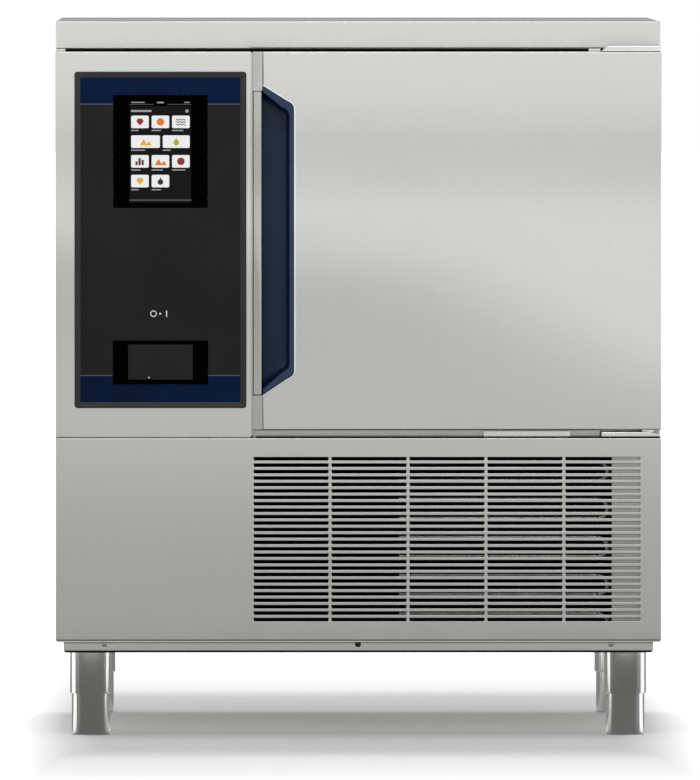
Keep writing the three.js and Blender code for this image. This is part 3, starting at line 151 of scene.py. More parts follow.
# brushed steel: fine lines along Z, Y or X, a slow cloud of tone and faint wiping marks
def brushedSteel(name, colour, roughness, along="z", spread=0.025, anisotropy=0.5):
    material, tree, shader = newMaterial(name)
    scale = [brushing["along"] if axis == along else brushing["across"] for axis in "xyz"]
    grain = noise(tree, 1.0, 2.0, scale)
    cloud = noise(tree, brushing["cloud"], 2.0, (1.0, 1.0, 1.6))
    smudge = noise(tree, brushing["smudge"], 4.0)
    tone = mixed(tree, grain, cloud, brushing["cloudShare"])
    wear = mixed(tree, grain, smudge, brushing["smudgeShare"])
    colourAndWear(tree, shader, tone, colour, spread, wear, roughness, (0.86, 1.16))
    addBump(tree, shader, grain, brushing["bump"], 0.0002)
    shader.inputs["Metallic"].default_value = 1.0
    shader.inputs["Anisotropic"].default_value = anisotropy
    tangent = tree.nodes.new("ShaderNodeTangent")
    tangent.direction_type = "RADIAL"
    tangent.axis = "Z"
    tree.links.new(tangent.outputs["Tangent"], shader.inputs["Tangent"])
    return material


# metal with a soft cloud of tone and faint handling marks, no brushing
def plainMetal(name, colour, roughness, spread=0.06, cloudSize=9.0, bump=0.02):
    material, tree, shader = newMaterial(name)
    cloud = noise(tree, cloudSize, 4.0)
    fine = noise(tree, cloudSize * 40, 3.0)
    colourAndWear(tree, shader, cloud, colour, spread, fine, roughness, (0.85, 1.2))
    addBump(tree, shader, fine, bump, 0.0004)
    shader.inputs["Metallic"].default_value = 1.0
    return material


# moulded plastic: a fine grain in the surface and a slight change of tone
def mouldedPlastic(name, colour, roughness, spread=0.12, grainSize=1400.0, bump=0.12, gloss=0.5):
    material, tree, shader = newMaterial(name)
    grain = noise(tree, grainSize, 2.0)
    cloud = noise(tree, 14.0, 3.0)
    colourAndWear(tree, shader, cloud, colour, spread, grain, roughness, (0.9, 1.12))
    addBump(tree, shader, grain, bump, 0.0002)
    shader.inputs["Specular IOR Level"].default_value = gloss
    return material


# ink that glows a little, with the fine grid of a display's dots in it
def litInk(name, colour, glow=0.55):
    material, tree, shader = newMaterial(name)
    dots = tree.nodes.new("ShaderNodeTexChecker")
    dots.inputs["Scale"].default_value = 4200.0
    dots.inputs["Color1"].default_value = (*colour, 1)
    dots.inputs["Color2"].default_value = (*shade(colour, 0.9), 1)
    tree.links.new(stretched(tree, (1, 0.001, 1)), dots.inputs["Vector"])
    tree.links.new(dots.outputs["Color"], shader.inputs["Base Color"])
    tree.links.new(dots.outputs["Color"], shader.inputs["Emission Color"])
    shader.inputs["Emission Strength"].default_value = glow
    shader.inputs["Roughness"].default_value = 0.5
    shader.inputs["Specular IOR Level"].default_value = 0.1
    return material


panelLook = (0.562, 0.560, 0.550), 0.34  # colour and roughness of the panels
materials = {
    "brushed_panel": brushedSteel("panelSteel", *panelLook),
    "inner_steel": brushedSteel("innerSteel", (0.64, 0.64, 0.63), 0.27, "y"),
    "polished_steel": plainMetal("polishedSteel", (0.64, 0.64, 0.63), 0.14),
    "galvanised_steel": plainMetal("galvanisedSteel", (0.36, 0.38, 0.39), 0.42, 0.09, 55.0),
    "dark_plastic": mouldedPlastic("darkPlastic", (0.022, 0.0225, 0.0225), 0.38, gloss=0.3),
    # the pocket's blue, kept darker than its rim's as painted shade in the hollow
    "blue_plastic": mouldedPlastic("bluePlastic", (0.0030, 0.0185, 0.0610), 0.36, gloss=0.25),
    "black_glass": mouldedPlastic("blackGlass", (0.0165, 0.0145, 0.0155), 0.3, 0.1, 900.0,
                                  0.02, 0.1),
    "display": mouldedPlastic("displayGlass", (0.0006, 0.0006, 0.0007), 0.2, 0.1, 900.0,
                              0.01, 0.004),
    "grey_plastic": mouldedPlastic("greyPlastic", (0.0215, 0.0222, 0.0222), 0.45, gloss=0.05),
    "gasket_rubber": mouldedPlastic("gasketRubber", (0.045, 0.046, 0.048), 0.62, 0.2, 700.0,
                                    0.3, 0.3),
    "foam": mouldedPlastic("foam", (0.60, 0.47, 0.22), 0.85, 0.16, 260.0, 0.7, 0.1),
    "circuit_board": mouldedPlastic("circuitBoard", (0.012, 0.085, 0.03), 0.35, 0.4, 320.0, 0.3),
    "aluminium_fins": plainMetal("aluminiumFins", (0.62, 0.64, 0.65), 0.3, 0.12, 60.0),
    "copper": plainMetal("copperPipe", (0.56, 0.235, 0.12), 0.3, 0.2, 30.0, 0.05),
    "black_paint": mouldedPlastic("blackPaint", (0.010, 0.010, 0.011), 0.32, 0.2, 500.0, 0.1),
    "white_plastic": mouldedPlastic("whitePlastic", (0.62, 0.63, 0.62), 0.4, 0.05),
}
# near-black fins: a black coating, darkened further as painted shade for the dark space behind the
# grille
coatedFins = plainMetal("coatedFins", (0.010, 0.0105, 0.011), 0.38, 0.3, 60.0)
# grey tubes, darkened as painted shade behind the grille
condenserTube = plainMetal("condenserTube", (0.27, 0.27, 0.265), 0.2, 0.2, 40.0)
bandBlue = mouldedPlastic("bandBlue", (0.0010, 0.0120, 0.052), 0.3, 0.2, 900.0, 0.02, 0.05)
bandLine = mouldedPlastic("bandLine", (0.10, 0.12, 0.18), 0.4, 0.05, 900.0, 0.02, 0.1)
printWhite = mouldedPlastic("printWhite", (0.84, 0.85, 0.86), 0.5, 0.03, 900.0, 0.02, 0.1)
handleSteel = brushedSteel("handleSteel", (0.40, 0.41, 0.39), 0.24, "z", 0.03, 0.3)
# a much paler steel than the door's: a painted highlight along the pocket's hem
hemSteel = plainMetal("hemSteel", (0.86, 0.87, 0.88), 0.3, 0.05, 20.0)
sillSteel = brushedSteel("sillSteel", (0.42, 0.42, 0.41), 0.3, "x")
topSteel = brushedSteel("topSteel", *panelLook, "x", anisotropy=0.0)
# the panels' steel made much paler for the base tray: painted light
traySteel = brushedSteel("traySteel", (0.76, 0.755, 0.735), 0.34, "x")
bracketSteel = plainMetal("bracketSteel", (0.45, 0.44, 0.42), 0.4, 0.05, 20.0)
# a paler copy of the pocket's blue: a painted highlight on the pocket's rim
rimBlue = mouldedPlastic("rimBlue", (0.022, 0.040, 0.105), 0.36, gloss=0.3)
# near-black used only for strips that paint the shade of deep gaps
jointBlack = mouldedPlastic("jointBlack", (0.006, 0.006, 0.006), 0.7, 0.2, 700.0, 0.2, 0.05)
print("materials made:", len(bpy.data.materials))


# the shapes are built in millimetres
def addBlock(bm, x, y, z):
    corners = [bm.verts.new((a, b, c)) for a in x for b in y for c in z]
    sides = ((0, 1, 3, 2), (4, 6, 7, 5), (0, 4, 5, 1), (2, 3, 7, 6), (0, 2, 6, 4), (1, 5, 7, 3))
    for side in sides:
        bm.faces.new([corners[index] for index in side])


# a skin over rings of points; each ring has the same number of points
def addRings(bm, rings, around=True, loop=False, capped=True):
    rows = [[bm.verts.new(point) for point in ring] for ring in rings]
    count = len(rows[0])
    pairs = list(zip(rows, rows[1:])) + ([(rows[-1], rows[0])] if loop else [])
    for low, high in pairs:
        for i in range(count if around else count - 1):
            j = (i + 1) % count
            bm.faces.new((low[i], low[j], high[j], high[i]))
    if capped and not loop and around:
        bm.faces.new(list(reversed(rows[0])))
        bm.faces.new(rows[-1])
    return rows


def roundedRect(u, v, radius, steps=6):
    points = []
    corners = ((u[1], v[0], -90), (u[1], v[1], 0), (u[0], v[1], 90), (u[0], v[0], 180))
    for cornerU, cornerV, start in corners:
        centreU = cornerU - math.copysign(radius, cornerU - (u[0] + u[1]) / 2)
        centreV = cornerV - math.copysign(radius, cornerV - (v[0] + v[1]) / 2)
        for step in range(steps + 1):
            turn = math.radians(start + 90 * step / steps)
            points.append((centreU + radius * math.cos(turn), centreV + radius * math.sin(turn)))
    return points


# puts a flat outline across an axis at a distance along it
def across(outline, axis, distance):
    if axis == "x":
        return [(distance, u, v) for u, v in outline]
    if axis == "y":
        return [(u, distance, v) for u, v in outline]
    return [(u, v, distance) for u, v in outline]


def addPrism(bm, outline, axis, start, end):
    addRings(bm, [across(outline, axis, start), across(outline, axis, end)])


# rings of rounded rectangles that follow a profile of (inset, distance): a closed shell
def addShell(bm, u, v, radius, profile, axis="y", tightest=0.6, loop=False):
    rings = []
    for inset, distance in profile:
        rect = insetRect((u, v), inset, max(radius - inset, tightest))
        rings.append(across(rect, axis, distance))
    addRings(bm, rings, loop=loop)


def circle(radius, sides, centre=(0, 0)):
    turns = [2 * math.pi * i / sides for i in range(sides)]
    return [(centre[0] + radius * math.cos(t), centre[1] + radius * math.sin(t)) for t in turns]


# a turned piece along an axis, from (radius, height) pairs
def addTurned(bm, profile, at=(0, 0, 0), axis="z", sides=48):
    rings = []
    for radius, height in profile:
        rings.append(across(circle(max(radius, 0.02), sides), axis, height))
    start = len(bm.verts)
    addRings(bm, rings)
    bm.verts.ensure_lookup_table()
    bmesh.ops.translate(bm, verts=bm.verts[start:], vec=at)


# a path with its corners bent
def bent(points, bend, steps=6):
    corners = [Vector(point) for point in points]
    path = [corners[0]]
    for before, corner, after in zip(corners, corners[1:], corners[2:]):
        reach = min(bend, (corner - before).length / 2, (after - corner).length / 2)
        start = corner + (before - corner).normalized() * reach
        end = corner + (after - corner).normalized() * reach
        for step in range(steps + 1):
            t = step / steps
            path.append(start * (1 - t) ** 2 + corner * 2 * t * (1 - t) + end * t ** 2)
    return path + [corners[-1]]


def addTube(bm, path, radius, sides=12, loop=False):
    path = [Vector(point) for point in path]
    last = len(path) - 1
    tangents = []
    for i, point in enumerate(path):
        before = path[i - 1] if i or loop else point
        after = path[(i + 1) % len(path)] if i < last or loop else point
        tangents.append((after - before).normalized())
    side = tangents[0].orthogonal().normalized()
    rings = []
    for point, tangent in zip(path, tangents):
        side = (side - tangent * side.dot(tangent)).normalized()
        other = tangent.cross(side)
        rings.append([point + side * u + other * v for u, v in circle(radius, sides)])
    addRings(bm, rings, loop=loop)


# rounds the sharp edges that a test picks
def soften(bm, radius, segments=3, test=None):
    edges = []
    for edge in bm.edges:
        sharp = edge.is_manifold and edge.calc_face_angle(0) > math.radians(32)
        if sharp and (test is None or test(edge)):
            edges.append(edge)
    bmesh.ops.bevel(bm, geom=edges, offset=radius, segments=segments, profile=0.5, affect="EDGES")


# an edge between two faces that are wide enough for a fold
def foldWider(width):
    def test(edge):
        length = edge.calc_length()
        return length > width and min(f.calc_area() for f in edge.link_faces) / length > width
    return test


def makePiece(name, bm, finish, sharpAngle=38):
    bmesh.ops.recalc_face_normals(bm, faces=bm.faces)
    bm.transform(Matrix.Scale(0.001, 4))
    mesh = bpy.data.meshes.new(name)
    bm.to_mesh(mesh)
    bm.free()
    mesh.polygons.foreach_set("use_smooth", [True] * len(mesh.polygons))
    mesh.set_sharp_from_angle(angle=math.radians(sharpAngle))
    mesh.materials.append(finish)
    piece = bpy.data.objects.new(name, mesh)
    bpy.context.collection.objects.link(piece)
    evening = piece.modifiers.new("evenNormals", "WEIGHTED_NORMAL")
    evening.keep_sharp = True
    return piece


def bodyOf(node):
    return frame["nodes"][node].parent.name.removeprefix("body:")


# the piece takes a CAD node's place and body
def standsFor(piece, node):
    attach(piece, bodyOf(node))
    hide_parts(node)
    return piece


# trim that goes along with a CAD node
def addTrim(name, bm, node, slot, finish=None):
    piece = makePiece(name, bm, finish or materials[slot])
    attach(piece, bodyOf(node))
    return piece


# the piece's name; a node of one word lends its name to a "Shell"
def camel(node):
    first, *rest = node.split("_")
    return first + ("".join(word.capitalize() for word in rest) or "Shell")


# a new piece in a CAD node's place, with the node's own finish if none is given
def stand(node, bm, finish=None, sharpAngle=38):
    return standsFor(makePiece(camel(node), bm, finish or materials[slots[node]], sharpAngle), node)


# a node's lowest and highest corners in millimetres
def nodeBox(node):
    low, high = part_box(node)
    return [v * 1000 for v in low], [v * 1000 for v in high]


def centreOf(node):
    return [(low + high) / 2 for low, high in zip(*nodeBox(node))]


def frontOf(node):
    return nodeBox(node)[0][1]


def backOf(node):
    return nodeBox(node)[1][1]


# a node's own shape with its folds rounded
def folded(node, radius, segments=3, finish=None, then=None):
    bm = bmesh.new()
    bm.from_mesh(frame["nodes"][node].data)
    bm.transform(Matrix.Scale(1000, 4))
    bmesh.ops.remove_doubles(bm, verts=bm.verts, dist=0.004)
    bmesh.ops.dissolve_limit(bm, angle_limit=math.radians(0.6), verts=bm.verts, edges=bm.edges)
    soften(bm, radius, segments, foldWider(2 * radius + 0.6))
    if then:
        then(bm)
    return stand(node, bm, finish)


cabinet = {
    "foldRadius": 1.7,
    "screwRadius": 4.0,
    "worktopCorner": 3.2,
    "shadeInset": 14.0,
    "sealEnd": 342.0,  # the black strip of painted shade under the worktop stops short of the hinge
    "rearScrewInset": 14.0,
    "rearScrewRadius": 3.6,
    "rearScrewColumns": (-148, 148),  # and one column at each edge
    "rearScrewRows": (432, 720),
}


# a low domed screw head; it looks along -Y, or +Y when turned
def addScrew(bm, x, y, z, radius=None, direction=-1):
    r = radius or cabinet["screwRadius"]
    dome = [(0, 0.55), (0.35, 0.53), (0.7, 0.42), (0.93, 0.2), (1.0, 0), (1.0, -0.3), (0, -0.3)]
    profile = [(r * across, direction * r * height) for across, height in dome]
    addTurned(bm, profile, (x, y, z), "y", 24)


# the worktop's skin from its inside to its top: a hem, a slightly crowned front and a rolled edge
def makeWorktop():
    lo, hi = nodeBox("worktop")
    low, top = lo[2], hi[2]
    profile = [(2.2, top - 2), (2.2, low + 0.3), (1.9, low), (1.4, low), (0.8, low + 0.25),
               (0.3, low + 0.9), (0.08, low + 2), (0, low + 4), (0, low + 28),
               (0, top - 1.4), (0.1, top - 0.8), (0.4, top - 0.3), (0.9, top - 0.05), (1.5, top)]
    bm = bmesh.new()
    addShell(bm, (lo[0], hi[0]), (lo[1], hi[1]), cabinet["worktopCorner"], profile, "z", 0.8)
    skin = makePiece("worktopSkin", bm, materials["brushed_panel"], 30)
    skin.data.materials.append(topSteel)
    for side in skin.data.polygons:
        side.material_index = int(side.normal.z > 0.7)
    standsFor(skin, "worktop")
    # a black strip of painted shade in the gap under the worktop
    bm = bmesh.new()
    face = frontOf("front_frame")
    addBlock(bm, (lo[0] + cabinet["shadeInset"], cabinet["sealEnd"]), (face - 0.6, face),
             (low - 8, low - 0.3))
    addTrim("worktopSeal", bm, "front_frame", "gasket_rubber", jointBlack)


def makeCabinetSkin():
    makeWorktop()
    for node in ("side_panel_left", "side_panel_right", "front_frame"):
        folded(node, cabinet["foldRadius"])
    folded("rear_panel", 0.5, 2)
    bm = bmesh.new()
    lo, hi = nodeBox("rear_panel")
    inset = cabinet["rearScrewInset"]
    for x in (lo[0] + inset, *cabinet["rearScrewColumns"], hi[0] - inset):
        for z in (lo[2] + inset, *cabinet["rearScrewRows"], hi[2] - inset):
            addScrew(bm, x, hi[1], z, cabinet["rearScrewRadius"], 1)
    addTrim("rearScrews", bm, "rear_panel", "polished_steel")


louvres = {
    "length": 220.0,
    "pitch": 20.0,
    "rows": 9,
    "starts": (-352.0, -110.0, 132.0),
    "lowest": 213.8,
    "height": 7.0,
    "hoodDepth": 6.5,
}


# pressed hoods over the rear panel's slots, open downwards
def makeLouvreHoods():
    bm = bmesh.new()
    rear = backOf("rear_panel")
    for start in louvres["starts"]:
        end = start + louvres["length"]
        for row in range(louvres["rows"]):
            top = louvres["lowest"] + row * louvres["pitch"] + louvres["height"] + 3
            rings = []
            for x, share in zip((start - 1, start + 5, end - 5, end + 1), (0.04, 1, 1, 0.04)):
                out, down = louvres["hoodDepth"] * share, 8 * share
                outline = [
                    (0, top), (0.45 * out, top - 0.25 * down), (0.85 * out, top - 0.6 * down),
                    (out, top - down - 1), (out - 0.9 * share, top - down - 1),
                    (0.75 * out, top - 0.65 * down), (0.35 * out, top - 0.32 * down - 0.6),
                    (0, top - 1.2),
                ]
                rings.append([(x, rear + u, v) for u, v in outline])
            addRings(bm, rings)
    addTrim("rearLouvres", bm, "rear_panel", "galvanised_steel")


lowerFront = {
    "foldRadius": 1.8,
    "slotEdge": 0.8,
    "slotReach": 425,  # the air slots lie within this of the middle
    "slotHeights": (150, 420),
    "flangeSetback": 10.5,
    "screws": (-376.6, 374.6),
    "screwHeight": 138.0,
    "plug": (-0.7, 138.0),
    "plugRadius": 4.4,
    "edgeStrip": (125.6, 127.2),  # black strip of painted shade along the flange's lower edge
    "edgeShadeEnds": (-435.5, 434.5),
}


def makeLowerFront():
    face = frontOf("lower_front_panel")
    low, high = lowerFront["slotHeights"]

    def roundSlots(bm):
        def onFace(edge):
            flat = all(abs(v.co.y - face) < 0.01 for v in edge.verts)
            reach = lowerFront["slotReach"]
            return flat and all(abs(v.co.x) < reach and low < v.co.z < high for v in edge.verts)
        soften(bm, lowerFront["slotEdge"], 2, onFace)

    folded("lower_front_panel", lowerFront["foldRadius"], 3, None, roundSlots)
    # the base tray's steel is painted lighter than the panels' as painted light
    folded("base_tray", 2.4, 4, traySteel)
    front = frontOf("base_tray") + lowerFront["flangeSetback"]
    bm = bmesh.new()
    for x in lowerFront["screws"]:
        addScrew(bm, x, front, lowerFront["screwHeight"])
    addTrim("baseScrews", bm, "base_tray", "polished_steel")
    bm = bmesh.new()
    r = lowerFront["plugRadius"]
    x, z = lowerFront["plug"]
    addTurned(bm, [(0, 1), (r, 1), (r, -0.8), (r * 0.8, -1.5), (0, -1.7)], (x, front, z), "y", 32)
    addTrim("basePlug", bm, "base_tray", "dark_plastic")
    # a black strip of painted shade under the flange's lower edge
    bm = bmesh.new()
    addBlock(bm, lowerFront["edgeShadeEnds"], (front - 0.3, front + 3), lowerFront["edgeStrip"])
    addTrim("baseEdgeStrip", bm, "base_tray", "gasket_rubber", jointBlack)


panel = {
    "lipWidth": 1.6,  # closes most of the gap beside the door
    "cornerRadius": 4.6,
    "bandTop": 939.0,  # the blue bands reach from here to the glass's edges
    "bandBottom": 535.8,
    "lineWidth": 1.5,
    "inkThickness": 0.15,
    "inkGap": 0.4,  # bare edge of the bands beside the display and the service bay
    "markHeight": 628.0,
    "ringAt": -303.4,
    "ringRadii": (4.9, 3.4),
    "dotAt": -293.5,
    "dotRadius": 1.6,
    "barAt": -284.0,
    "barSize": (1.7, 9.4),
}


def makeControlHousing():
    folded("control_housing", cabinet["foldRadius"])
    (_, front, low), (right, _, high) = nodeBox("control_housing")
    bm = bmesh.new()
    addBlock(bm, (right, right + panel["lipWidth"]), (front + 2.4, front + 5), (low + 4, high - 1))
    soften(bm, 0.3, 2)
    addTrim("housingLip", bm, "control_housing", "brushed_panel")


# the moulded rim round the glass: it slopes inwards from its front edge
def makeBezel():
    lo, hi = nodeBox("control_bezel")
    front = lo[1]
    profile = [
        (0.3, front + 1.7), (0.0, front + 1.2), (0.1, front + 0.6), (0.5, front + 0.15),
        (1.1, front), (2.2, front + 0.02), (3.2, front + 0.3), (7.4, front + 1.1),
        (8.6, front + 1.3), (9.1, front + 1.6), (9.2, front + 3.6), (6.6, front + 9.2),
        (6.6, front + 1.7),
    ]
    bm = bmesh.new()
    addShell(bm, (lo[0], hi[0]), (lo[2], hi[2]), panel["cornerRadius"], profile, loop=True)
    stand("control_bezel", bm)


def addInk(bm, x, z, front, layer=1):
    thick = panel["inkThickness"]
    addBlock(bm, x, (front - layer * thick, front - (layer - 1) * thick), z)


# the blue bands run past the display and the service bay; a pale line edges each of them
def makeGlass():
    folded("control_glass", 0.4, 2)
    lo, hi = nodeBox("control_glass")
    front, gap = lo[1], panel["inkGap"]
    x0, x1, z0, z1 = lo[0] + 0.8, hi[0] - 0.8, lo[2] + 0.8, hi[2] - 0.8
    window, bayLow, bayHigh = nodeBox("display_screen"), *nodeBox("service_bay")
    upper, lower, width = panel["bandTop"], panel["bandBottom"], panel["lineWidth"]
    besideWindow = (x0, window[0][0] - gap), (window[1][0] + gap, x1)
    besideBay = (x0, bayLow[0] - gap), (bayHigh[0] + gap, x1)
    bands, lines = bmesh.new(), bmesh.new()
    addInk(bands, (x0, x1), (window[1][2] + gap, z1), front)
    for x in besideWindow:
        addInk(bands, x, (upper, window[1][2] + gap), front)
        addInk(lines, x, (upper - width, upper), front)
    addInk(bands, (x0, x1), (z0, bayLow[2] - gap), front)
    for x in besideBay:
        addInk(bands, x, (bayLow[2] - gap, lower), front)
        addInk(lines, x, (lower, lower + width), front)
    addTrim("blueBands", bands, "control_glass", "blue_plastic", bandBlue)
    addTrim("bandLines", lines, "control_glass", "white_plastic", bandLine)
    makePowerMarks(front)


# the ring, the dot and the bar of the power switch
def makePowerMarks(front):
    bm = bmesh.new()
    z, thick = panel["markHeight"], panel["inkThickness"]
    outer, inner = [circle(radius, 40, (panel["ringAt"], z)) for radius in panel["ringRadii"]]
    ring = ((outer, front), (outer, front - thick), (inner, front - thick), (inner, front))
    addRings(bm, [across(outline, "y", y) for outline, y in ring], loop=True)
    addPrism(bm, circle(panel["dotRadius"], 24, (panel["dotAt"], z)), "y", front - thick, front)
    width, height = panel["barSize"]
    addInk(bm, (panel["barAt"] - width / 2, panel["barAt"] + width / 2),
           (z - height / 2, z + height / 2), front)
    addTrim("powerMarks", bm, "control_glass", "white_plastic", printWhite)


screen = {
    "left": -338.4,
    "right": -247.8,
    "top": 942.0,
    "bottom": 792.5,
    "tileHeight": 18.6,
    "rowPitch": 29.2,
    "firstRow": 921.2,
    "gap": 4.2,
    "rows": ((1, 1, 1), (1.55, 1.45), (1, 1, 1), (1, 1)),
    "tileCorner": 2.2,
    "drawingSize": 5.6,
    "margin": 2,
    "headingBar": (-298, -288),
    "headingGap": (-303.5, -282.5),  # in the line over the top row
    "paper": (0.86, 0.86, 0.85),
    "greyInk": (0.42, 0.42, 0.42),
    "backInk": (0.0030, 0.0030, 0.0034),
    "ruleInk": (0.13, 0.13, 0.13),
    "inks": {
        "crimson": (0.30, 0.035, 0.06),
        "orange": (0.78, 0.22, 0.035),
        "olive": (0.48, 0.44, 0.06),
        "yellow": (0.80, 0.48, 0.07),
        "umber": (0.10, 0.05, 0.035),
        "slate": (0.03, 0.035, 0.045),
    },
}


# plain drawings for the tiles: each takes a centre and a size and gives its outlines
def ringDrawing(x, z, size):
    return [circle(size, 28, (x, z))]


def barsDrawing(x, z, size):
    bars = []
    for i, height in enumerate((0.5, 0.95, 0.7)):
        u = x + (i - 1.5) * size * 0.8
        top = z - size + 2 * size * height
        bars.append([(u, z - size), (u + size * 0.6, z - size), (u + size * 0.6, top), (u, top)])
    return bars


def hillDrawing(x, z, size):
    return [
        [(x - 1.5 * size, z - size), (x + 0.5 * size, z - size), (x - 0.5 * size, z + 0.7 * size)],
        [(x + 0.1 * size, z - size), (x + 1.6 * size, z - size), (x + 0.9 * size, z + 0.2 * size)],
    ]


def dropDrawing(x, z, size):
    points = circle(size * 0.75, 20, (x, z - 0.25 * size))
    points[5] = (x, z + size * 1.1)
    return [points]


def waveDrawing(x, z, size):
    waves = []
    for level in (-0.6, 0.05, 0.7):
        top = [(x + size * (t / 6 - 1) * 1.3, z + size * (level + 0.16 * math.sin(t * 1.6)))
               for t in range(13)]
        low = [(u, v - size * 0.24) for u, v in reversed(top)]
        waves.append(top + low)
    return waves


def gemDrawing(x, z, size):
    return [[(x - size, z + 0.2 * size), (x - 0.5 * size, z + 0.9 * size),
             (x + 0.5 * size, z + 0.9 * size), (x + size, z + 0.2 * size), (x, z - size)]]


drawings = (
    ("crimson", gemDrawing), ("orange", ringDrawing), ("slate", waveDrawing),
    ("yellow", hillDrawing), ("olive", dropDrawing), ("umber", barsDrawing),
    ("orange", hillDrawing), ("crimson", ringDrawing), ("yellow", gemDrawing),
    ("slate", dropDrawing),
)


def screenPiece(name, bm, finish):
    addTrim(name, bm, "display_screen", "display", finish)


def makeDisplay():
    folded("display_screen", 0.4, 2)
    front, thick = frontOf("display_screen"), panel["inkThickness"]
    left, right, top, bottom = [screen[side] for side in ("left", "right", "top", "bottom")]
    bm = bmesh.new()
    addInk(bm, (left, right), (bottom, screen["firstRow"] + 14), front)
    screenPiece("screenGround", bm, litInk("screenGround", screen["backInk"], 0.2))
    tiles, captions, rules = bmesh.new(), bmesh.new(), bmesh.new()
    inks = {ink: bmesh.new() for ink in screen["inks"]}
    margin, gap = screen["margin"], screen["gap"]
    number = 0
    for row, shares in enumerate(screen["rows"]):
        gaps = 2 if sum(shares) < 3 else len(shares) - 1
        unit = (right - left - 2 * margin - gaps * gap) / 3
        x = left + margin
        high = screen["firstRow"] - row * screen["rowPitch"]
        low = high - screen["tileHeight"]
        for share in shares:
            end = x + unit * share
            rect = roundedRect((x, end), (low, high), screen["tileCorner"], 4)
            addPrism(tiles, rect, "y", front - 2 * thick, front - thick)
            ink, drawing = drawings[number % len(drawings)]
            for outline in drawing((x + end) / 2, (low + high) / 2, screen["drawingSize"]):
                addPrism(inks[ink], outline, "y", front - 3 * thick, front - 2 * thick)
            length = unit * (0.42 + 0.11 * (number % 4))
            addInk(captions, (x, x + length), (low - 4.2, low - 2.6), front, 2)
            x = end + gap
            number += 1
    # the bars of the heading: their ends, and how far they lie under the top
    for start, end, near, far in ((left + 2, left + 22, 0.6, 2), (right - 10, right - 2, 0.6, 2),
                                  (left + 2, left + 32, 12.6, 15.4)):
        addInk(captions, (start, end), (top - far, top - near), front, 2)
    addPrism(captions, circle(2.4, 20, (right - 6, top - 14)), "y", front - 2 * thick, front)
    addInk(captions, screen["headingBar"], (top - 2.4, top - 0.4), front, 2)
    screenPiece("screenTiles", tiles, litInk("screenPaper", screen["paper"], 0.35))
    screenPiece("screenCaptions", captions, litInk("screenGrey", screen["greyInk"], 0.2))
    for ink, colour in screen["inks"].items():
        name = ink.capitalize()
        screenPiece("screenInk" + name, inks[ink], litInk("ink" + name, colour, 0.25))
    ends = left - 0.5, *screen["headingGap"], right + 0.5
    for start, end in (ends[:2], ends[2:]):
        addInk(rules, (start, end), (top - 4.6, top - 3.8), front)
    addInk(rules, (left - 0.5, right + 0.5), (bottom + 3, bottom + 4.4), front, 2)
    screenPiece("screenRules", rules, litInk("screenRule", screen["ruleInk"], 0.2))


bay = {
    "dot": (-310.1, 533.6),
    "dotRadius": 1.1,
    "socketDepth": (-450.5, -438.5),
    "tongue": ((-298.6, -287.7), (555.6, 557.6)),
    "firstContact": -297.6,
    "contactPitch": 2.5,
    "contactWidth": 1.3,
}


def makeServiceBay():
    folded("service_bay", 0.3, 2, materials["display"])
    folded("service_flap", 0.7, 3)
    front = frontOf("service_flap")
    bm = bmesh.new()
    addPrism(bm, circle(bay["dotRadius"], 20, bay["dot"]), "y", front - 0.2, front)
    addTrim("flapDot", bm, "service_flap", "white_plastic", printWhite)
    bm = bmesh.new()
    x, z = bay["tongue"]
    addBlock(bm, x, bay["socketDepth"], z)
    addTrim("socketTongue", bm, "service_bay", "white_plastic")
    bm = bmesh.new()
    y = bay["socketDepth"][0] + 0.3, bay["socketDepth"][1] - 1.5
    for i in range(4):
        left = bay["firstContact"] + i * bay["contactPitch"]
        addBlock(bm, (left, left + bay["contactWidth"]), y, (z[0] - 0.25, z[0] + 0.05))
    addTrim("socketContacts", bm, "service_bay", "copper")


door = {
    "foldRadius": 1.8,
    "barCrown": 1.5,
    "barCorner": 3,
    "barGap": 0.9,  # dark joint between the bar and the pocket
    "hemOffset": 0.9,
    "hemRadius": 1.1,
    "linerCorner": 14.0,
    "linerPad": 19.0,  # from the gasket's edge to the raised middle
}


def makeDoorSkin():
    folded("door_skin", door["foldRadius"])
    folded("door_edge", 0.6, 2, handleSteel)
    # the hem round the pocket is steel painted pale as a highlight
    bm = bmesh.new()
    path = across(pocketEdge(door["hemOffset"]), "y", frontOf("door_skin") + 0.3)
    addTube(bm, path, door["hemRadius"], 10)
    addTrim("pocketHem", bm, "door_skin", "polished_steel", hemSteel)


# handle bar: a crowned front and a flat back with round corners
def makeHandleBar():
    lo, hi = nodeBox("handle_bar")
    hi[0] -= door["barGap"]
    middle, half, r = (lo[0] + hi[0]) / 2, (hi[0] - lo[0]) / 2, door["barCorner"]
    outline = []
    for i in range(15):
        t = -1 + 2 * i / 14
        rise = door["barCrown"] * t * t + 2.6 * max(0.0, abs(t) - 0.8) ** 1.2 / 0.145
        outline.append((middle + half * t, lo[1] + rise))
    for x, turn in ((hi[0] - r, 0), (lo[0] + r, 90)):
        for step in range(5):
            angle = math.radians(turn + 90 * step / 4)
            outline.append((x + r * math.cos(angle), hi[1] - r + r * math.sin(angle)))
    centre = (lo[1] + hi[1]) / 2
    rings = []
    for z, inset in ((lo[2], 0.8), (lo[2] + 0.8, 0), (hi[2] - 0.8, 0), (hi[2], 0.8)):
        scale = 1 - inset / half
        rings.append([(middle + (x - middle) * scale, centre + (y - centre) * scale, z)
                      for x, y in outline])
    bm = bmesh.new()
    addRings(bm, rings)
    stand("handle_bar", bm, handleSteel)


pocket = {
    "left": -141.3,
    "corner": 10.0,
    "slopeLow": 28.3,
    "slopeHigh": 26.5,
    "rim": 7.0,
    "rimDepth": 1.3,  # the paler blue, a painted highlight on the rim, reaches this far in
    "draft": 2.0,
    "floorThickness": 2.5,
    "closedEnds": ((508.3, 520), (943, 956.4)),  # heights behind the handle bar
    "closedTo": -141.2,
}


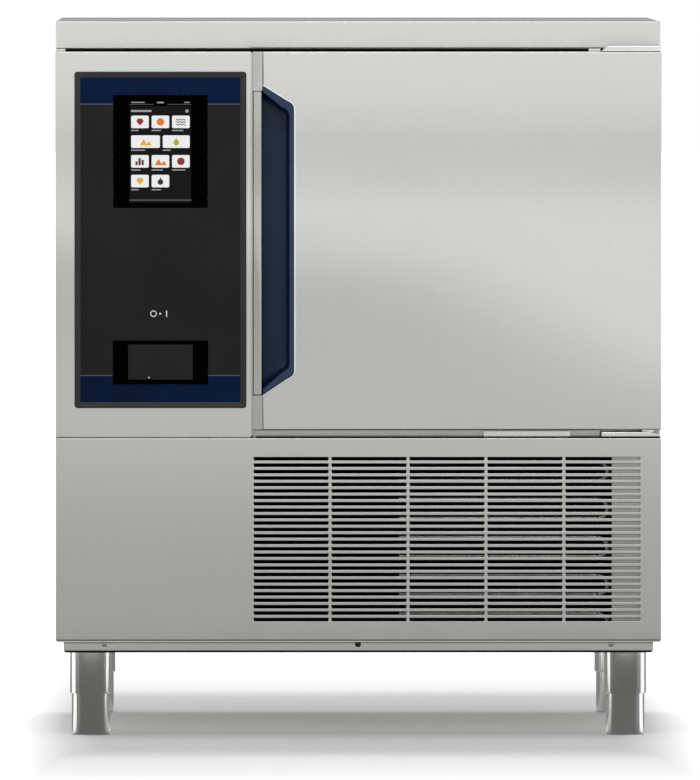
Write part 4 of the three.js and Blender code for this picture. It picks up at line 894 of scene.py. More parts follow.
# the pocket's open outline, from its lower left corner round to its upper left
def pocketEdge(offset):
    lo, hi = nodeBox("handle_pocket")
    right, corner = hi[0] + offset, pocket["corner"]
    low, high = lo[2] - offset * 1.3, hi[2] + offset * 1.3
    points = [(pocket["left"], low)]
    bends = ((low, pocket["slopeLow"], 1), (high, -pocket["slopeHigh"], -1))
    for end, slope, up in bends:
        bend = [(right - corner, end + slope - up * corner * 0.35), (right, end + slope),
                (right, end + slope + up * corner)]
        a, b, c = bend[::up]
        points += [tuple((1 - t) ** 2 * p + 2 * t * (1 - t) * q + t * t * r
                         for p, q, r in zip(a, b, c)) for t in (i / 6 for i in range(7))]
    return points + [(pocket["left"], high)]


# moulded finger pocket: a rounded rim, sloping walls, a filleted floor; the rim takes a paler blue
# as a painted highlight and the rest a darker blue as painted shade
def makeHandlePocket():
    (edge, front, _), (_, back, _) = nodeBox("handle_pocket")
    rim, floor = pocket["rim"], back - pocket["floorThickness"]
    profile = [
        (0, back), (0, front + 1.2), (-0.35, front + 0.35), (-1.2, front), (1.2 - rim, front),
        (0.35 - rim, front + 0.35), (-rim, front + 1.2), (-rim - pocket["draft"], floor - 7),
        (-rim - 3.4, floor - 2.4), (-rim - 6.5, floor - 0.5), (-rim - 9.5, floor),
    ]
    rings = [across(pocketEdge(offset), "y", y) for offset, y in profile]
    inner = pocketEdge(-rim - 9.5)
    rings.append([(edge, floor, z) for _, z in inner])
    rings.append([(edge, back, z) for _, z in inner])
    bm = bmesh.new()
    rows = addRings(bm, rings, around=False, loop=True)
    bm.faces.new([row[0] for row in rows])
    bm.faces.new([row[-1] for row in reversed(rows)])
    for z in pocket["closedEnds"]:
        addBlock(bm, (edge, pocket["closedTo"]), (floor, back), z)
    piece = makePiece("handlePocket", bm, materials["blue_plastic"], 30)
    piece.data.materials.append(rimBlue)
    for side in piece.data.polygons:
        side.material_index = int(side.center.y * 1000 < front + pocket["rimDepth"])
    standsFor(piece, "handle_pocket")


# the pressed inner panel of the door
def makeDoorLiner():
    lo, hi = nodeBox("door_liner")
    ring = nodeBox("door_gasket")
    front, back, pad = lo[1], hi[1], door["linerPad"]
    face = front + 2
    outer = (lo[0], hi[0]), (lo[2], hi[2])
    raised = (ring[0][0] + pad, ring[1][0] - pad), (ring[0][2] + pad, ring[1][2] - pad)
    r = door["linerCorner"]
    edge = [(0, front), (0, face - 0.5), (0.5, face)]
    rise = [(-1.2, face), (0, face + 0.8), (0.6, back - 2.5), (1.5, back - 0.8), (3.4, back)]
    groove = [(70, back), (72.5, back - 1.6), (78, back - 1.6), (80.5, back)]
    rings = []
    for inset, y in edge:
        rings.append(across(insetRect(outer, inset, 2), "y", y))
    for inset, y in rise:
        rings.append(across(insetRect(raised, inset, r - inset), "y", y))
    for inset, y in groove:
        rings.append(across(insetRect(raised, inset, r), "y", y))
    bm = bmesh.new()
    addRings(bm, rings)
    stand("door_liner", bm, sharpAngle=30)


def insetRect(sides, inset, radius):
    u, v = sides
    return roundedRect((u[0] + inset, u[1] - inset), (v[0] + inset, v[1] - inset), radius)


# magnetic gasket: a foot, a bellows and a rounded bead, mitred at the corners
def makeGasket():
    lo, hi = nodeBox("door_gasket")
    back, front = lo[1], hi[1]
    profile = [
        (0.2, back), (0, back + 1.6), (2.0, back + 2.6), (2.2, back + 4.2), (0.6, back + 5.4),
        (0.1, back + 8.0), (0.6, front - 1.8), (2.2, front - 0.3), (4.4, front),
        (9.0, front - 0.5), (13.6, front), (15.8, front - 0.3), (17.4, front - 1.8),
        (17.9, back + 8.0), (17.4, back + 5.4), (15.8, back + 4.2), (16.0, back + 2.6),
        (18, back + 1.6), (17.8, back),
    ]
    bm = bmesh.new()
    addShell(bm, (lo[0], hi[0]), (lo[2], hi[2]), 1.0, profile, loop=True)
    stand("door_gasket", bm, sharpAngle=30)


sill = {
    "front": -450.5,
    "thickness": 2,
    "lug": (185.5, 313.5),
    "sealEnd": 446.0,
    "shadeDepth": (-466.2, -465.6),
    "shadeHeight": (444.1, 446.3),
    "hingeScrews": (386.0, 408.0),
    "hingeScrewAt": (-450.0, 452.9),
}


# the strip under the door with its shelf, and the lug that stands forward beside the hinge
def makeSill():
    lo, hi = nodeBox("door_sill")
    front, thick = sill["front"], sill["thickness"]
    bm = bmesh.new()
    addPrism(bm, [(front, lo[2]), (hi[1], lo[2]), (hi[1], lo[2] + thick),
                  (front + thick, lo[2] + thick), (front + thick, hi[2]), (front, hi[2])],
             "x", lo[0], hi[0])
    soften(bm, 0.7, 3)
    lug = bmesh.new()
    addPrism(lug, roundedRect(sill["lug"], (lo[2] + 1, hi[2] - 1), 1.2, 4), "y", lo[1], front)
    soften(lug, 0.7, 3, lambda edge: all(abs(v.co.y - lo[1]) < 0.01 for v in edge.verts))
    stand("door_sill", bm, sillSteel)
    addTrim("sillLug", lug, "door_sill", "inner_steel")
    # a black strip of painted shade in the gap between the sill and the lower front panel
    bm = bmesh.new()
    addBlock(bm, (lo[0] + 4, sill["sealEnd"]), sill["shadeDepth"], sill["shadeHeight"])
    addTrim("sillSeal", bm, "lower_front_panel", "gasket_rubber", jointBlack)


def makeHinges():
    makeSill()
    folded("top_hinge_plate", 1.7, 4)
    folded("bottom_hinge_plate", 1.5, 4)
    bm = bmesh.new()
    head = [(0, 1.4), (3.2, 1.2), (4.6, 0.2), (4.8, 0), (4.8, -0.5), (0, -0.5)]
    for x in sill["hingeScrews"]:
        addTurned(bm, head, (x, *sill["hingeScrewAt"]), "z", 24)
    addTrim("hingeScrews", bm, "bottom_hinge_plate", "polished_steel")


chamber = {
    "foldRadius": 1.2,
    "shelfCorner": 18.0,
    "wireRadius": 3.0,
    "crossRadius": 1.5,
    "crossPitch": 24.0,
    "guardRadii": (58, 76, 94, 112, 130, 148),
    "guardWire": 1.4,
    "strainerAt": (136.75, 0, 496),
    "strainerRadius": 34.0,
}


# the liner keeps its CAD mesh, joined up and with its edges eased
def easeLiner():
    liner = frame["nodes"]["chamber_liner"]
    liner.modifiers.new("joined", "WELD").merge_threshold = 0.000004
    edges = liner.modifiers.new("easedEdges", "BEVEL")
    edges.width = chamber["foldRadius"] / 1000
    edges.segments = 2


def makeChamberWalls():
    easeLiner()
    folded("tray_rack_left", chamber["foldRadius"], 3)
    folded("tray_rack_right", chamber["foldRadius"], 3)
    x, y, z = chamber["strainerAt"]
    radius = chamber["strainerRadius"]
    bm = bmesh.new()
    addTurned(bm, [(0, 0.4), (radius - 4, 0.4), (radius - 3, 2.2), (radius, 1.2), (radius, 0.2),
                   (0, 0.2)], (x, y, z), "z", 48)
    for ring in (1, 2, 3):
        for studX, studY in circle(8 * ring, 6 * ring, (x, y)):
            addTurned(bm, [(0, 0.9), (2.2, 0.7), (2.6, 0.3), (0, 0.3)], (studX, studY, z), "z", 12)
    addTrim("floorStrainer", bm, "chamber_liner", "polished_steel")


# wire shelf: a bent rim, round cross wires on it and a stay under them
def makeShelf(node):
    lo, hi = nodeBox(node)
    rod, thin, corner = chamber["wireRadius"], chamber["crossRadius"], chamber["shelfCorner"]
    left, right, front, back, top = lo[0] + rod, hi[0] - rod, lo[1] + rod, hi[1] - rod, hi[2]
    bm = bmesh.new()
    rim = roundedRect((left, right), (front, back), corner, 6)
    addTube(bm, across(rim, "z", top - rod), rod, 12, True)
    length = hi[1] - lo[1] - 2 * corner
    count = round(length / chamber["crossPitch"])
    for i in range(count + 1):
        y = lo[1] + corner + length * i / count
        addTube(bm, [(left, y, top - thin), (right, y, top - thin)], thin, 8)
    for share in (0.25, 0.5, 0.75):
        x = lo[0] + (hi[0] - lo[0]) * share
        z = top - 2 * thin - rod + 0.5
        addTube(bm, [(x, front, z), (x, back, z)], min(rod, z - lo[2]), 10)
    stand(node, bm, materials["polished_steel"])


# finer rings of round wire over the fan's opening
def makeFanPanel():
    folded("fan_panel", 0.5, 2)
    lo, hi = nodeBox("fan_panel")
    _, y, z = centreOf("evaporator_fan")
    bm = bmesh.new()
    for radius in chamber["guardRadii"]:
        path = across(circle(radius, 48, (y, z)), "x", hi[0] - 0.9)
        addTube(bm, path, chamber["guardWire"], 8, True)
    addTrim("fanGuard", bm, "fan_panel", "polished_steel")
    bm = bmesh.new()
    knob = [(0, 1.6), (3, 1.4), (4.2, 0.3), (4.4, 0), (0, 0)]
    for knobY in (lo[1] + 12, hi[1] - 12):
        for knobZ in (lo[2] + 14, z, hi[2] - 14):
            addTurned(bm, knob, (hi[0], knobY, knobZ), "x", 20)
    addTrim("fanPanelKnobs", bm, "fan_panel", "polished_steel")


fans = {
    "evaporator_fan": {"radius": 150.0, "depth": 40.0, "turn": 90},
    "condenser_fan": {"radius": 120.0, "depth": 42.0, "turn": 180},
}
fanShape = {
    "hub": 42.0,
    "blades": 5,
    "spans": 9,  # sections from the hub to the tip
    "steps": 8,  # points along each side of a section
    "camber": 4.0,
    "lean": 0.22,
}


# an axial fan about +Y with twisted, cambered blades, centred on the origin
def fanMesh(radius, depth):
    bm = bmesh.new()
    half, hub = depth / 2, fanShape["hub"]
    addTurned(bm, [(6.5, half - 8), (6.5, -half + 2), (30, -half), (hub - 3, -half),
                   (hub, -half + 3), (hub, half - 2), (hub - 2, half), (hub - 6, half),
                   (hub - 8, half - 8)], (0, 0, 0), "y", 48)
    for blade in range(fanShape["blades"]):
        turn = 2 * math.pi * blade / fanShape["blades"]
        addRings(bm, [bladeSection(turn, i / (fanShape["spans"] - 1), radius, depth)
                      for i in range(fanShape["spans"])])
    return bm


# the outline of a blade at a share of its length, which runs from just inside the hub
def bladeSection(turn, share, radius, depth):
    half, root = depth / 2, fanShape["hub"] - 4
    r = root + (radius - root) * share
    pitch = math.radians(38 - 12 * share)
    rounding = 1 - 0.55 * max(0, share - 0.8) ** 2 * 12
    chord = min((depth - 6) / math.sin(pitch), 74 + 26 * share) * rounding
    upper, lower = [], []
    for j in range(fanShape["steps"] + 1):
        t = j / fanShape["steps"]
        along = (t - 0.5) * chord
        camber = fanShape["camber"] * (1 - (2 * t - 1) ** 2)
        thick = 0.5 + 1.3 * math.sin(math.pi * min(1, t * 1.3))
        for side, row in ((1, upper), (-1, lower)):
            lift = camber + side * thick
            y = along * math.sin(pitch) + lift * math.cos(pitch) - 2
            sweep = along * math.cos(pitch) - lift * math.sin(pitch)
            angle = turn + fanShape["lean"] * share * share + sweep / r
            row.append((r * math.cos(angle), max(-half, min(half, y)), -r * math.sin(angle)))
    return upper + lower[::-1]


def makeFan(node, radius, depth, turn):
    bm = fanMesh(radius, depth)
    bm.transform(Matrix.Translation(centreOf(node)) @ Matrix.Rotation(math.radians(turn), 4, "Z"))
    stand(node, bm, sharpAngle=30)


motors = {
    "evaporator_fan_motor": {"length": 38, "axis": "x"},
    "condenser_fan_motor": {"length": 54, "axis": "y"},
}
motorShape = {
    "radius": 40.0,
    "ribPitch": 8.0,
    "ribDepth": 2.2,
}


# a motor along an axis from its mounting face, with cooling ribs round its can and its shaft
def makeMotor(node, length, axis):
    r, pitch = motorShape["radius"], motorShape["ribPitch"]
    groove = r - motorShape["ribDepth"]
    profile = [(0, 0), (r - 2, 0), (r, 2)]
    at = pitch
    while at < length - 10:
        profile += [(r, at), (groove, at + 0.8), (groove, at + 3), (r, at + 3.8)]
        at += pitch
    index = "xyz".index(axis)
    place = centreOf(node)
    lo, hi = nodeBox(node)
    place[index] = hi[index]
    shaft = hi[index] - lo[index]
    profile += [(r, length - 4), (r - 4, length), (13, length), (12, length + 1.5),
                (6, length + 1.5), (6, shaft), (0, shaft)]
    bm = bmesh.new()
    addTurned(bm, [(radius, -height) for radius, height in profile], place, axis, 48)
    stand(node, bm)


coils = {
    "condenser_coil": {"axis": "x", "core": 296, "pitch": 3.4, "rows": 4,
                       "fin": coatedFins, "tube": condenserTube},
    "evaporator_coil": {"axis": "y", "core": -634.7, "pitch": 7.0, "rows": 5,
                        "fin": materials["aluminium_fins"], "tube": materials["copper"]},
}
coilShape = {
    "finThickness": 0.35,
    "tubeRadius": 4.8,
    "tubePitch": 26,
    "endPlate": 1.5,
}


# Plates across an axis, and tubes through them with return bends past one end of the core.
# The core's length runs from the low side, or from the high side where it is negative.
def makeCoil(node, axis, core, pitch, rows, fin, tube):
    lo, hi = nodeBox(node)
    along = "xy".index(axis)
    side = 1 - along  # the other horizontal axis
    start, end = (lo[along], lo[along] + core) if core > 0 else (hi[along] + core, hi[along])
    fins = bmesh.new()

    def addPlate(at, thick, inset):
        ranges = [None, None, (lo[2], hi[2])]
        ranges[along] = (at, at + thick)
        ranges[side] = (lo[side] + inset, hi[side] - inset)
        addBlock(fins, *ranges)
    for i in range(1, int((end - start - 4) / pitch)):
        addPlate(start + 2 + i * pitch, coilShape["finThickness"], 1)
    for at in (start, end - coilShape["endPlate"]):
        addPlate(at, coilShape["endPlate"], 0)
    stand(node, fins, fin)
    tubes = bmesh.new()
    high = int((hi[2] - lo[2] - 20) / coilShape["tubePitch"])
    zStep = (hi[2] - lo[2] - 20) / high
    radius = coilShape["tubeRadius"]
    if core > 0:
        near, far, bend = end, start + 0.2, min(hi[along] - radius - end, zStep / 2)
    else:
        near, far, bend = start, end - 0.2, max(lo[along] + radius - start, -zStep / 2)
    for row in range(rows):
        place = lo[side] + (hi[side] - lo[side]) * (row + 0.5) / rows
        for i in range(0, high - 1, 2):
            z = lo[2] + 10 + (i + 0.5) * zStep
            path = [(far, z), (near, z)]
            for turn in (math.pi * step / 8 for step in range(1, 8)):
                path.append((near + bend * math.sin(turn), z + zStep * (1 - math.cos(turn)) / 2))
            path += [(near, z + zStep), (far, z + zStep)]
            points = [(u, place, v) if axis == "x" else (place, u, v) for u, v in path]
            addTube(tubes, points, radius, 12)
    addTrim(camel(node) + "Tubes", tubes, node, "copper", tube)


fittings = {
    "valveInset": 18.85,  # the valve's axis from its back
    "probeNut": 12.6,
    "mainsNut": 12.9,
}


def makeValve():
    x = centreOf("expansion_valve")[0]
    y = backOf("expansion_valve") - fittings["valveInset"]
    bm = bmesh.new()
    addTurned(bm, [(0, 566), (7, 566), (7.5, 570), (11, 573), (13, 576), (13, 586), (11, 588),
                   (11, 594), (13, 596), (13, 606), (9, 609), (9, 612), (18.85, 614),
                   (18.85, 619), (15, 622), (0, 622)], (x, y, 0), "z", 40)
    addTube(bm, [(x, y, 589), (x, frontOf("expansion_valve"), 589)], 6, 16)
    stand("expansion_valve", bm)


def makeGlands():
    _, y, z = centreOf("probe_gland")
    x = nodeBox("probe_gland")[1][0]
    bm = bmesh.new()
    addPrism(bm, circle(fittings["probeNut"], 6, (y, z)), "x", x - 5, x)
    soften(bm, 0.8, 2)
    addTurned(bm, [(0, -5), (10, -5), (10, -7), (9, -8), (9, -13), (7.5, -15), (4, -15),
                   (3.6, -12), (0, -12)], (x, y, z), "x", 36)
    stand("probe_gland", bm)
    x, _, z = centreOf("mains_gland")
    back = backOf("rear_panel")
    bm = bmesh.new()
    for start, end in ((back + 0.3, back + 8), (back - 10.3, back - 2.3)):
        addPrism(bm, circle(fittings["mainsNut"], 6, (x, z)), "y", start, end)
    soften(bm, 0.9, 2)
    addTurned(bm, [(0, -16), (11, -16), (11, 7), (10.6, 8.8), (9, 9.6), (6, 9.6), (5.4, 6),
                   (0, 6)], (x, back, z), "y", 36)
    stand("mains_gland", bm)


unit = {
    "compressorAt": (-225.0, 150.0, 129.3),
    "receiverAt": (30.0, 250.0, 129.3),
    "drierAt": (51.6, 250.0, 313.6),
    "footAt": 78,  # of the compressor's feet, from its middle each way
    "portHeight": 143.84,
    "receiverPorts": 21.6,
}


def makeCompressor():
    x, y, z = unit["compressorAt"]
    bm = bmesh.new()
    addTurned(bm, [
        (0, 16), (72, 16), (84, 22), (90.5, 34), (92, 48), (92, 148), (92.4, 150), (95, 152),
        (95.4, 156), (95, 160), (92.4, 162), (92, 168), (91.6, 180), (87.5, 198), (79, 210),
        (62, 221), (40, 228), (16, 231.5), (0, 232),
    ], (x, y, z), "z", 72)
    stand("compressor", bm)
    bm = bmesh.new()
    plate = roundedRect((x - 100, x + 100), (y - 100, y + 100), 16)
    relay = roundedRect((x - 117.8, x - 88), (z + 106, z + 172), 5)
    addPrism(bm, plate, "z", z + 12.5, z + 19.5)
    addPrism(bm, relay, "y", y - 33, y + 33)
    soften(bm, 1.2, 3)
    height = z + unit["portHeight"]
    for axis, at, r in (("x", (x, y - 20, height), 8), ("y", (x - 20, y, height), 11)):
        addTurned(bm, [(0, 80), (r, 80), (r, 102), (r + 1.4, 104), (r + 1.4, 109), (r, 110),
                       (0, 110)], at, axis, 32)
    addTrim("compressorFrame", bm, "compressor", "black_paint")
    rubber, bolts = bmesh.new(), bmesh.new()
    reach = unit["footAt"]
    for at in [(x + reach * sx, y + reach * sy, z) for sx in (-1, 1) for sy in (-1, 1)]:
        addTurned(rubber, [(0, 0), (14, 0), (14, 3), (11, 5), (11, 9), (14, 11), (14, 12.5),
                           (0, 12.5)], at, "z", 32)
        addTurned(bolts, [(0, 19.5), (10, 19.5), (10, 21.5), (6, 22), (6, 27), (5, 28),
                          (0, 28)], at, "z", 6)
    addTrim("compressorGrommets", rubber, "compressor", "gasket_rubber")
    addTrim("compressorBolts", bolts, "compressor", "galvanised_steel")


def makeReceiverAndDrier():
    x, y, z = unit["receiverAt"]
    bm = bmesh.new()
    addTurned(bm, [
        (0, 0), (38.4, 0), (38.4, 3), (36, 4), (36, 16), (38, 18), (44, 24), (47.4, 32),
        (48, 40), (48, 84), (48.6, 86), (48.6, 90), (48, 92), (48, 136), (46.6, 148),
        (41, 158), (30, 165.5), (14, 169.5), (0, 170),
    ], (x, y, z), "z", 56)
    for offset in (-unit["receiverPorts"], unit["receiverPorts"]):
        addTurned(bm, [(0, 155), (8, 155), (8, 176), (6.6, 178), (6.6, 180), (8, 181), (8, 184),
                       (0, 184)], (x + offset, y, z), "z", 32)
    stand("liquid_receiver", bm)
    bm = bmesh.new()
    addTurned(bm, [(0, 0), (7, 0), (7, 9), (8.5, 12), (14, 18), (16.6, 22), (17, 26), (17, 52),
                   (16.6, 56), (14, 60), (8.5, 66), (7, 69), (7, 78), (0, 78)],
              unit["drierAt"], "z", 40)
    stand("filter_drier", bm)


pipes = {
    "bend": 26.0,
    "radius": 6.0,
    "widerRadii": {"suction_pipe": 9.0, "drain_pipe": 16.0},
}
routes = {
    "discharge_pipe": [(-114.7, 130, 273.1), (-82.7, 130, 273.1), (-82.7, 130, 400),
                       (-82.7, -366.4, 400), (58.7, -366.4, 400)],
    "condenser_return_pipe": [(58.7, -366.4, 161), (21, -366.4, 161), (21, 170, 161),
                              (21, 170, 345.3), (8.4, 250, 345.3), (8.4, 250, 313.6)],
    "liquid_pipe": [(51.6, 250, 391.9), (51.6, 250, 420.3), (51.6, 375.5, 420.3),
                    (-309.5, 375.5, 420.3), (-309.5, 375.5, 565.7)],
    "suction_pipe": [(-348.5, 342.8, 536), (-348.5, 375.5, 536), (-348.5, 375.5, 273.1),
                     (-245, 375.5, 273.1), (-245, 260.3, 273.1)],
    "drain_pipe": [(136.75, 0, 495.4), (136.75, 0, 386.3), (136.75, 466.5, 386.3)],
}


def makePipes():
    for node, points in routes.items():
        radius = pipes["widerRadii"].get(node, pipes["radius"])
        bm = bmesh.new()
        addTube(bm, bent(points, pipes["bend"]), radius, 20)
        stand(node, bm)


def makeElectricalBox():
    folded("electrical_box", 1.4, 3)
    folded("condenser_fan_shroud", 0.5, 2, bracketSteel)
    lo, hi = nodeBox("electrical_box")
    face = lo[1] - 1.6
    bm = bmesh.new()
    lid = roundedRect((lo[0] + 3, hi[0] - 3), (lo[2] + 3, hi[2] - 3), 4)
    addPrism(bm, lid, "y", face, lo[1])
    for x in (lo[0] + 12, hi[0] - 12):
        for z in (lo[2] + 12, hi[2] - 12):
            addScrew(bm, x, face, z, 3.2)
    addTrim("electricalLid", bm, "electrical_box", "galvanised_steel")


legs = {
    "sides": 96,
    "sleeveRadius": 31.0,
    "footRadius": 28.4,
    "sleeveDrop": 4.0,  # the thin sleeve ends this much lower than its solid
}


def makeLeg(end, side):
    sleeve, foot = f"leg_sleeve_{end}_{side}", f"leg_foot_{end}_{side}"
    lo, hi = nodeBox(sleeve)
    at = ((lo[0] + hi[0]) / 2, (lo[1] + hi[1]) / 2, 0)
    r, low, high = legs["sleeveRadius"], lo[2] - legs["sleeveDrop"], hi[2]
    bm = bmesh.new()
    addTurned(bm, [(r - 0.6, high), (r, high - 0.6), (r, high - 2.4), (r - 0.5, high - 2.8),
                   (r - 0.5, high - 3.4), (r, high - 3.8), (r, low + 1.6), (r - 0.9, low),
                   (r - 2.0, low + 0.3), (r - 2.2, low + 2), (r - 2.2, high - 4.3),
                   (10, high - 4.3), (10, high)], at, "z", legs["sides"])
    stand(sleeve, bm, materials["polished_steel"])
    r, high = legs["footRadius"], nodeBox(foot)[1][2]
    bm = bmesh.new()
    addTurned(bm, [(0, 0), (r - 1.8, 0), (r - 1.0, 0.3), (r - 0.3, 1.0), (r, 1.8), (r, high - 1),
                   (r - 1, high), (0, high)], at, "z", legs["sides"])
    stand(foot, bm, materials["polished_steel"])


def dressNodes():
    for name, node in frame["nodes"].items():
        node.data.materials.clear()
        node.data.materials.append(materials[slots[name]])


dressNodes()
makeCabinetSkin()
makeLouvreHoods()
makeLowerFront()
print("cabinet made")
makeControlHousing()
makeBezel()
makeGlass()
makeDisplay()
makeServiceBay()
print("control panel made")
makeDoorSkin()
makeHandleBar()
makeHandlePocket()
makeDoorLiner()
makeGasket()
makeHinges()
print("door made")
makeChamberWalls()
for level in ("lower", "middle", "upper"):
    makeShelf("wire_shelf_" + level)
makeFanPanel()
for node, fan in fans.items():
    makeFan(node, **fan)
for node, motor in motors.items():
    makeMotor(node, **motor)
for node, coil in coils.items():
    makeCoil(node, **coil)
makeValve()
makeGlands()
print("chamber fittings made")
makeCompressor()
makeReceiverAndDrier()
makePipes()
makeElectricalBox()
for end in ("front", "rear"):
    for side in ("left", "right"):
        makeLeg(end, side)
print("cooling unit and legs made")


studio = {
    "floorSize": 60.0,
    "floorColour": (0.97, 0.97, 0.97),
    # the backdrop's white by distance from the middle, to the sides and to front and rear; it stays
    # low near the machine, which paints a soft shadow on the floor
    "glowX": [(0.0, 0.0), (0.36, 0.0), (0.62, 0.95)],
    # the dip just beyond the machine's front and rear darkens the floor there: a painted shadow
    # band
    "glowY": [(0.0, 0.08), (0.2, 0.08), (0.42, 0.0), (0.8, 0.0), (1.2, 0.26), (3.0, 0.95)],
    "glowReach": 4.0,
    "glowBlend": 0.06,
    "skyForLight": 0.46,  # on matt surfaces; metal and glass show the white room
}


# a flat piece of the studio, from its corners
def makeSheet(name, corners, material):
    mesh = bpy.data.meshes.new(name)
    mesh.from_pydata(corners, [], [tuple(range(len(corners)))])
    mesh.materials.append(material)
    sheet = bpy.data.objects.new(name, mesh)
    bpy.context.collection.objects.link(sheet)
    return sheet


def makeFloor():
    size = studio["floorSize"]
    material, tree, shader = newMaterial("floorPaint")
    grain = noise(tree, 30.0, 2.0)
    pale = studio["floorColour"]
    tree.links.new(ramp(tree, grain, shade(pale, 0.99), pale), shader.inputs["Base Color"])
    shader.inputs["Roughness"].default_value = 0.9
    shader.inputs["Specular IOR Level"].default_value = 0.0
    whiteOutAndPaintedShadow(tree, shader)
    corners = [(-size, -size, 0), (size, -size, 0), (size, size, 0), (-size, size, 0)]
    makeSheet("floor", corners, material)


# the floor turns into the white backdrop away from the machine, for the camera, metal and glass;
# near the machine its glow stays low and paints a soft shadow
def whiteOutAndPaintedShadow(tree, shader):
    reach = []
    for axis in "XY":
        away = calc(tree, "ABSOLUTE", placeAlong(tree, axis))
        share = calc(tree, "DIVIDE", away, studio["glowReach"])
        tones = [(far / studio["glowReach"], tone) for far, tone in studio["glow" + axis]]
        reach.append(toneScale(tree, share, tones, easing="EASE"))
    most = calc(tree, "SMOOTH_MAX", *reach, studio["glowBlend"])
    light = tree.nodes.new("ShaderNodeEmission")
    tree.links.new(calc(tree, "MULTIPLY", most, seenRay(tree)), light.inputs["Strength"])
    total = tree.nodes.new("ShaderNodeAddShader")
    tree.links.new(shader.outputs["BSDF"], total.inputs[0])
    tree.links.new(light.outputs["Emission"], total.inputs[1])
    output = next(node for node in tree.nodes if node.type == "OUTPUT_MATERIAL")
    tree.links.new(total.outputs["Shader"], output.inputs["Surface"])


# a sum on sockets and plain numbers
def calc(tree, operation, *values):
    node = tree.nodes.new("ShaderNodeMath")
    node.operation = operation
    for socket, value in zip(node.inputs, values):
        if isinstance(value, float):
            socket.default_value = value
        else:
            tree.links.new(value, socket)
    return node.outputs["Value"]


def placeAlong(tree, axis):
    place = tree.nodes.new("ShaderNodeTexCoord")
    split = tree.nodes.new("ShaderNodeSeparateXYZ")
    tree.links.new(place.outputs["Object"], split.inputs["Vector"])
    return split.outputs[axis]


# greys along a value, from (value, tone) pairs
def toneScale(tree, source, tones, tint=1.0, easing="LINEAR"):
    node = tree.nodes.new("ShaderNodeValToRGB")
    node.color_ramp.interpolation = easing
    stops = node.color_ramp.elements
    while len(stops) < len(tones):
        stops.new(0.5)
    for stop, (place, tone) in zip(stops, tones):
        stop.position = place
    for stop, (place, tone) in zip(stops, tones):
        stop.color = (tone, tone, tone * tint, 1)
    tree.links.new(source, node.inputs["Fac"])
    return node.outputs["Color"]


# 1 for rays from the camera and for what metal and glass show
def seenRay(tree):
    path = tree.nodes.new("ShaderNodeLightPath")
    either = calc(tree, "MAXIMUM", path.outputs["Is Camera Ray"], path.outputs["Is Glossy Ray"])
    return calc(tree, "MAXIMUM", either, path.outputs["Is Transmission Ray"])


# white to the camera and in metal and glass, softer as light
def makeWorld():
    world = bpy.data.worlds.new("studio")
    bpy.context.scene.world = world
    world.use_nodes = True
    tree = world.node_tree
    tree.nodes.clear()
    output = tree.nodes.new("ShaderNodeOutputWorld")
    mix = tree.nodes.new("ShaderNodeMixShader")
    seen = tree.nodes.new("ShaderNodeBackground")
    light = tree.nodes.new("ShaderNodeBackground")
    seen.inputs["Color"].default_value = (1, 1, 1, 1)
    light.inputs["Color"].default_value = (1, 1, 1, 1)
    light.inputs["Strength"].default_value = studio["skyForLight"]
    tree.links.new(seenRay(tree), mix.inputs["Fac"])
    tree.links.new(light.outputs["Background"], mix.inputs[1])
    tree.links.new(seen.outputs["Background"], mix.inputs[2])
    tree.links.new(mix.outputs["Shader"], output.inputs["Surface"])


lamps = {
    "frontLight": {"place": (0, -3.4, 3.2), "target": (0, -0.3, 0.6), "size": (1.2, 1.8),
                   "power": 30.0},
    # it softens the floor's shadow, and stays off the worktop
    "rearLight": {"place": (0, 3.4, 3.2), "target": (0, 0.3, 0.6), "size": (1.2, 1.8),
                  "power": 50.0, "mirrored": False},
    "rightStrip": {"place": (3.4, -0.7, 0.7), "target": (0, -0.4, 0.4), "size": (0.7, 1.6),
                   "power": 2.5},
    "leftStrip": {"place": (-3.0, 0.8, 0.7), "target": (0, -0.4, 0.4), "size": (0.35, 1.6),
                  "power": 2.5},
}


def makeLamp(name, lamp):
    data = bpy.data.lights.new(name, "AREA")
    data.shape = "RECTANGLE"
    data.size, data.size_y = lamp["size"]
    data.energy = lamp["power"]
    light = bpy.data.objects.new(name, data)
    light.location = lamp["place"]
    light.rotation_euler = facing(lamp["place"], lamp["target"])
    light.visible_glossy = lamp.get("mirrored", True)
    bpy.context.collection.objects.link(light)


# the turn of a lamp or camera that looks from one point to another
def facing(place, target):
    return (Vector(target) - Vector(place)).to_track_quat("-Z", "Y").to_euler()


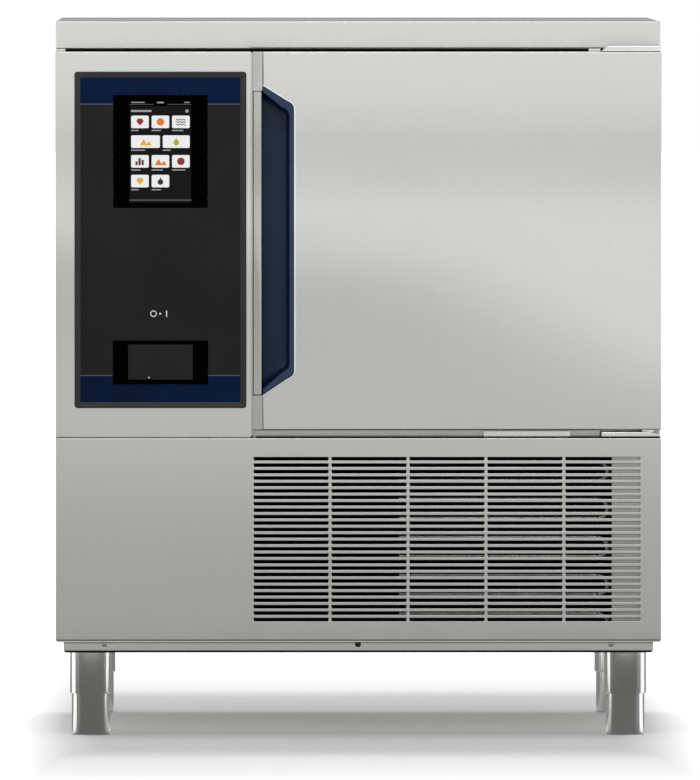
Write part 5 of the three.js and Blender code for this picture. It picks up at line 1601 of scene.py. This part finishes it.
# Cards that only show in reflections, as a photographer's flags do: the axis each lies across,
# its place on that axis, its tone or tones by height, and its outline.
doorTones = [(0.0, 0.18), (0.103, 0.15), (0.108, 0.95), (0.13, 0.95), (0.17, 0.6), (0.24, 0.62),
             (0.36, 0.72), (0.46, 0.88), (0.56, 0.81), (0.64, 0.72), (0.74, 0.7)]
stripeTones = [(0.78, 0.98), (0.83, 0.86), (0.88, 0.98)]
sideCard = [(-0.9, 0), (-0.25, 0), (-0.25, 0.1), (-0.9, 0.1)]
sideRearCard = [(0.73, 0), (1.2, 0), (1.2, 0.1), (0.73, 0.1)]
onFloor = 0.001
cards = {
    "frontCard": ("y", -0.9, doorTones, [
        (-1.7, 0), (1.7, 0), (1.7, 0.12), (3, 0.12), (3, 0.3), (0.5, 0.48), (0.3, 0.58),
        (0.1, 0.66), (-0.3, 0.7), (-3, 0.74), (-3, 0.12), (-1.7, 0.12)]),
    "lowCard": ("z", onFloor, doorTones, [(-1.7, -0.9), (1.7, -0.9), (0.4, -0.37), (-0.4, -0.37)]),
    "midCard": ("z", onFloor, 0.45, [(-1.5, -3.2), (1.5, -3.2), (1.5, -0.92), (-1.5, -0.92)]),
    "leftCard": ("x", -1.7, 0.3, sideCard),
    "leftRearCard": ("x", -1.7, 0.3, sideRearCard),
    "leftFloorCard": ("z", onFloor, 0.3, [(-1.7, -0.9), (-0.4, -0.37), (-1.7, -0.25)]),
    "rightCard": ("x", 1.7, 0.3, sideCard),
    "rightRearCard": ("x", 1.7, 0.3, sideRearCard),
    "rightFloorCard": ("z", onFloor, 0.3, [(1.7, -0.9), (1.7, -0.25), (0.4, -0.37)]),
    "underCard": ("z", onFloor, 0.8, [(-0.36, -0.33), (0, -0.26), (0.36, -0.33), (0.36, -0.12),
                                      (-0.36, -0.12)]),
    "stripeCard": ("y", -0.9, stripeTones, [(-3, 0.78), (3, 0.78), (3, 0.88), (-3, 0.88)]),
    "behindCard": ("z", onFloor, 0.3, [
        (-0.43, -0.33), (-0.43, 0.5), (0.43, 0.5), (0.43, -0.33), (1.7, 0.73), (1.7, 1.2),
        (-1.7, 1.2), (-1.7, 0.73)]),
    "lowRearCard": ("y", 1.2, 0.3, [(-1.7, 0), (1.7, 0), (1.7, 0.1), (-1.7, 0.1)]),
    "rearCard": ("y", 1.7, 0.4, [(-2, 0.9), (2, 0.9), (2, 2.6), (-2, 2.6)]),
}


def makeCard(name, axis, place, tones, outline):
    if isinstance(tones, float):
        tones = [(0, tones), (1, tones)]
    material = bpy.data.materials.new(name)
    material.use_nodes = True
    tree = material.node_tree
    tree.nodes.clear()
    output = tree.nodes.new("ShaderNodeOutputMaterial")
    glow = tree.nodes.new("ShaderNodeEmission")
    scale = toneScale(tree, placeAlong(tree, "Z"), tones, 0.985)
    tree.links.new(scale, glow.inputs["Color"])
    tree.links.new(glow.outputs["Emission"], output.inputs["Surface"])
    card = makeSheet(name, across(outline, axis, place), material)
    card.visible_camera = False
    card.visible_diffuse = False
    card.visible_shadow = False
    card.visible_transmission = False


view = {
    "place": (-0.171, -26.4665, 1.24),
    "target": (-0.0126, -0.4665, 0.515),
    "lens": 811.0,
    "sensor": 36.0,
    "farthest": 400.0,
}


def makeCamera():
    data = bpy.data.cameras.new("camera")
    data.lens = view["lens"]
    data.sensor_width = view["sensor"]
    data.clip_end = view["farthest"]
    camera = bpy.data.objects.new("camera", data)
    camera.location = view["place"]
    camera.rotation_euler = facing(view["place"], view["target"])
    bpy.context.collection.objects.link(camera)
    bpy.context.scene.camera = camera


makeFloor()
makeWorld()
for name, lamp in lamps.items():
    makeLamp(name, lamp)
for name, card in cards.items():
    makeCard(name, *card)
makeCamera()
bpy.context.scene.view_settings.view_transform = "Standard"
print("floor, lights and camera made")
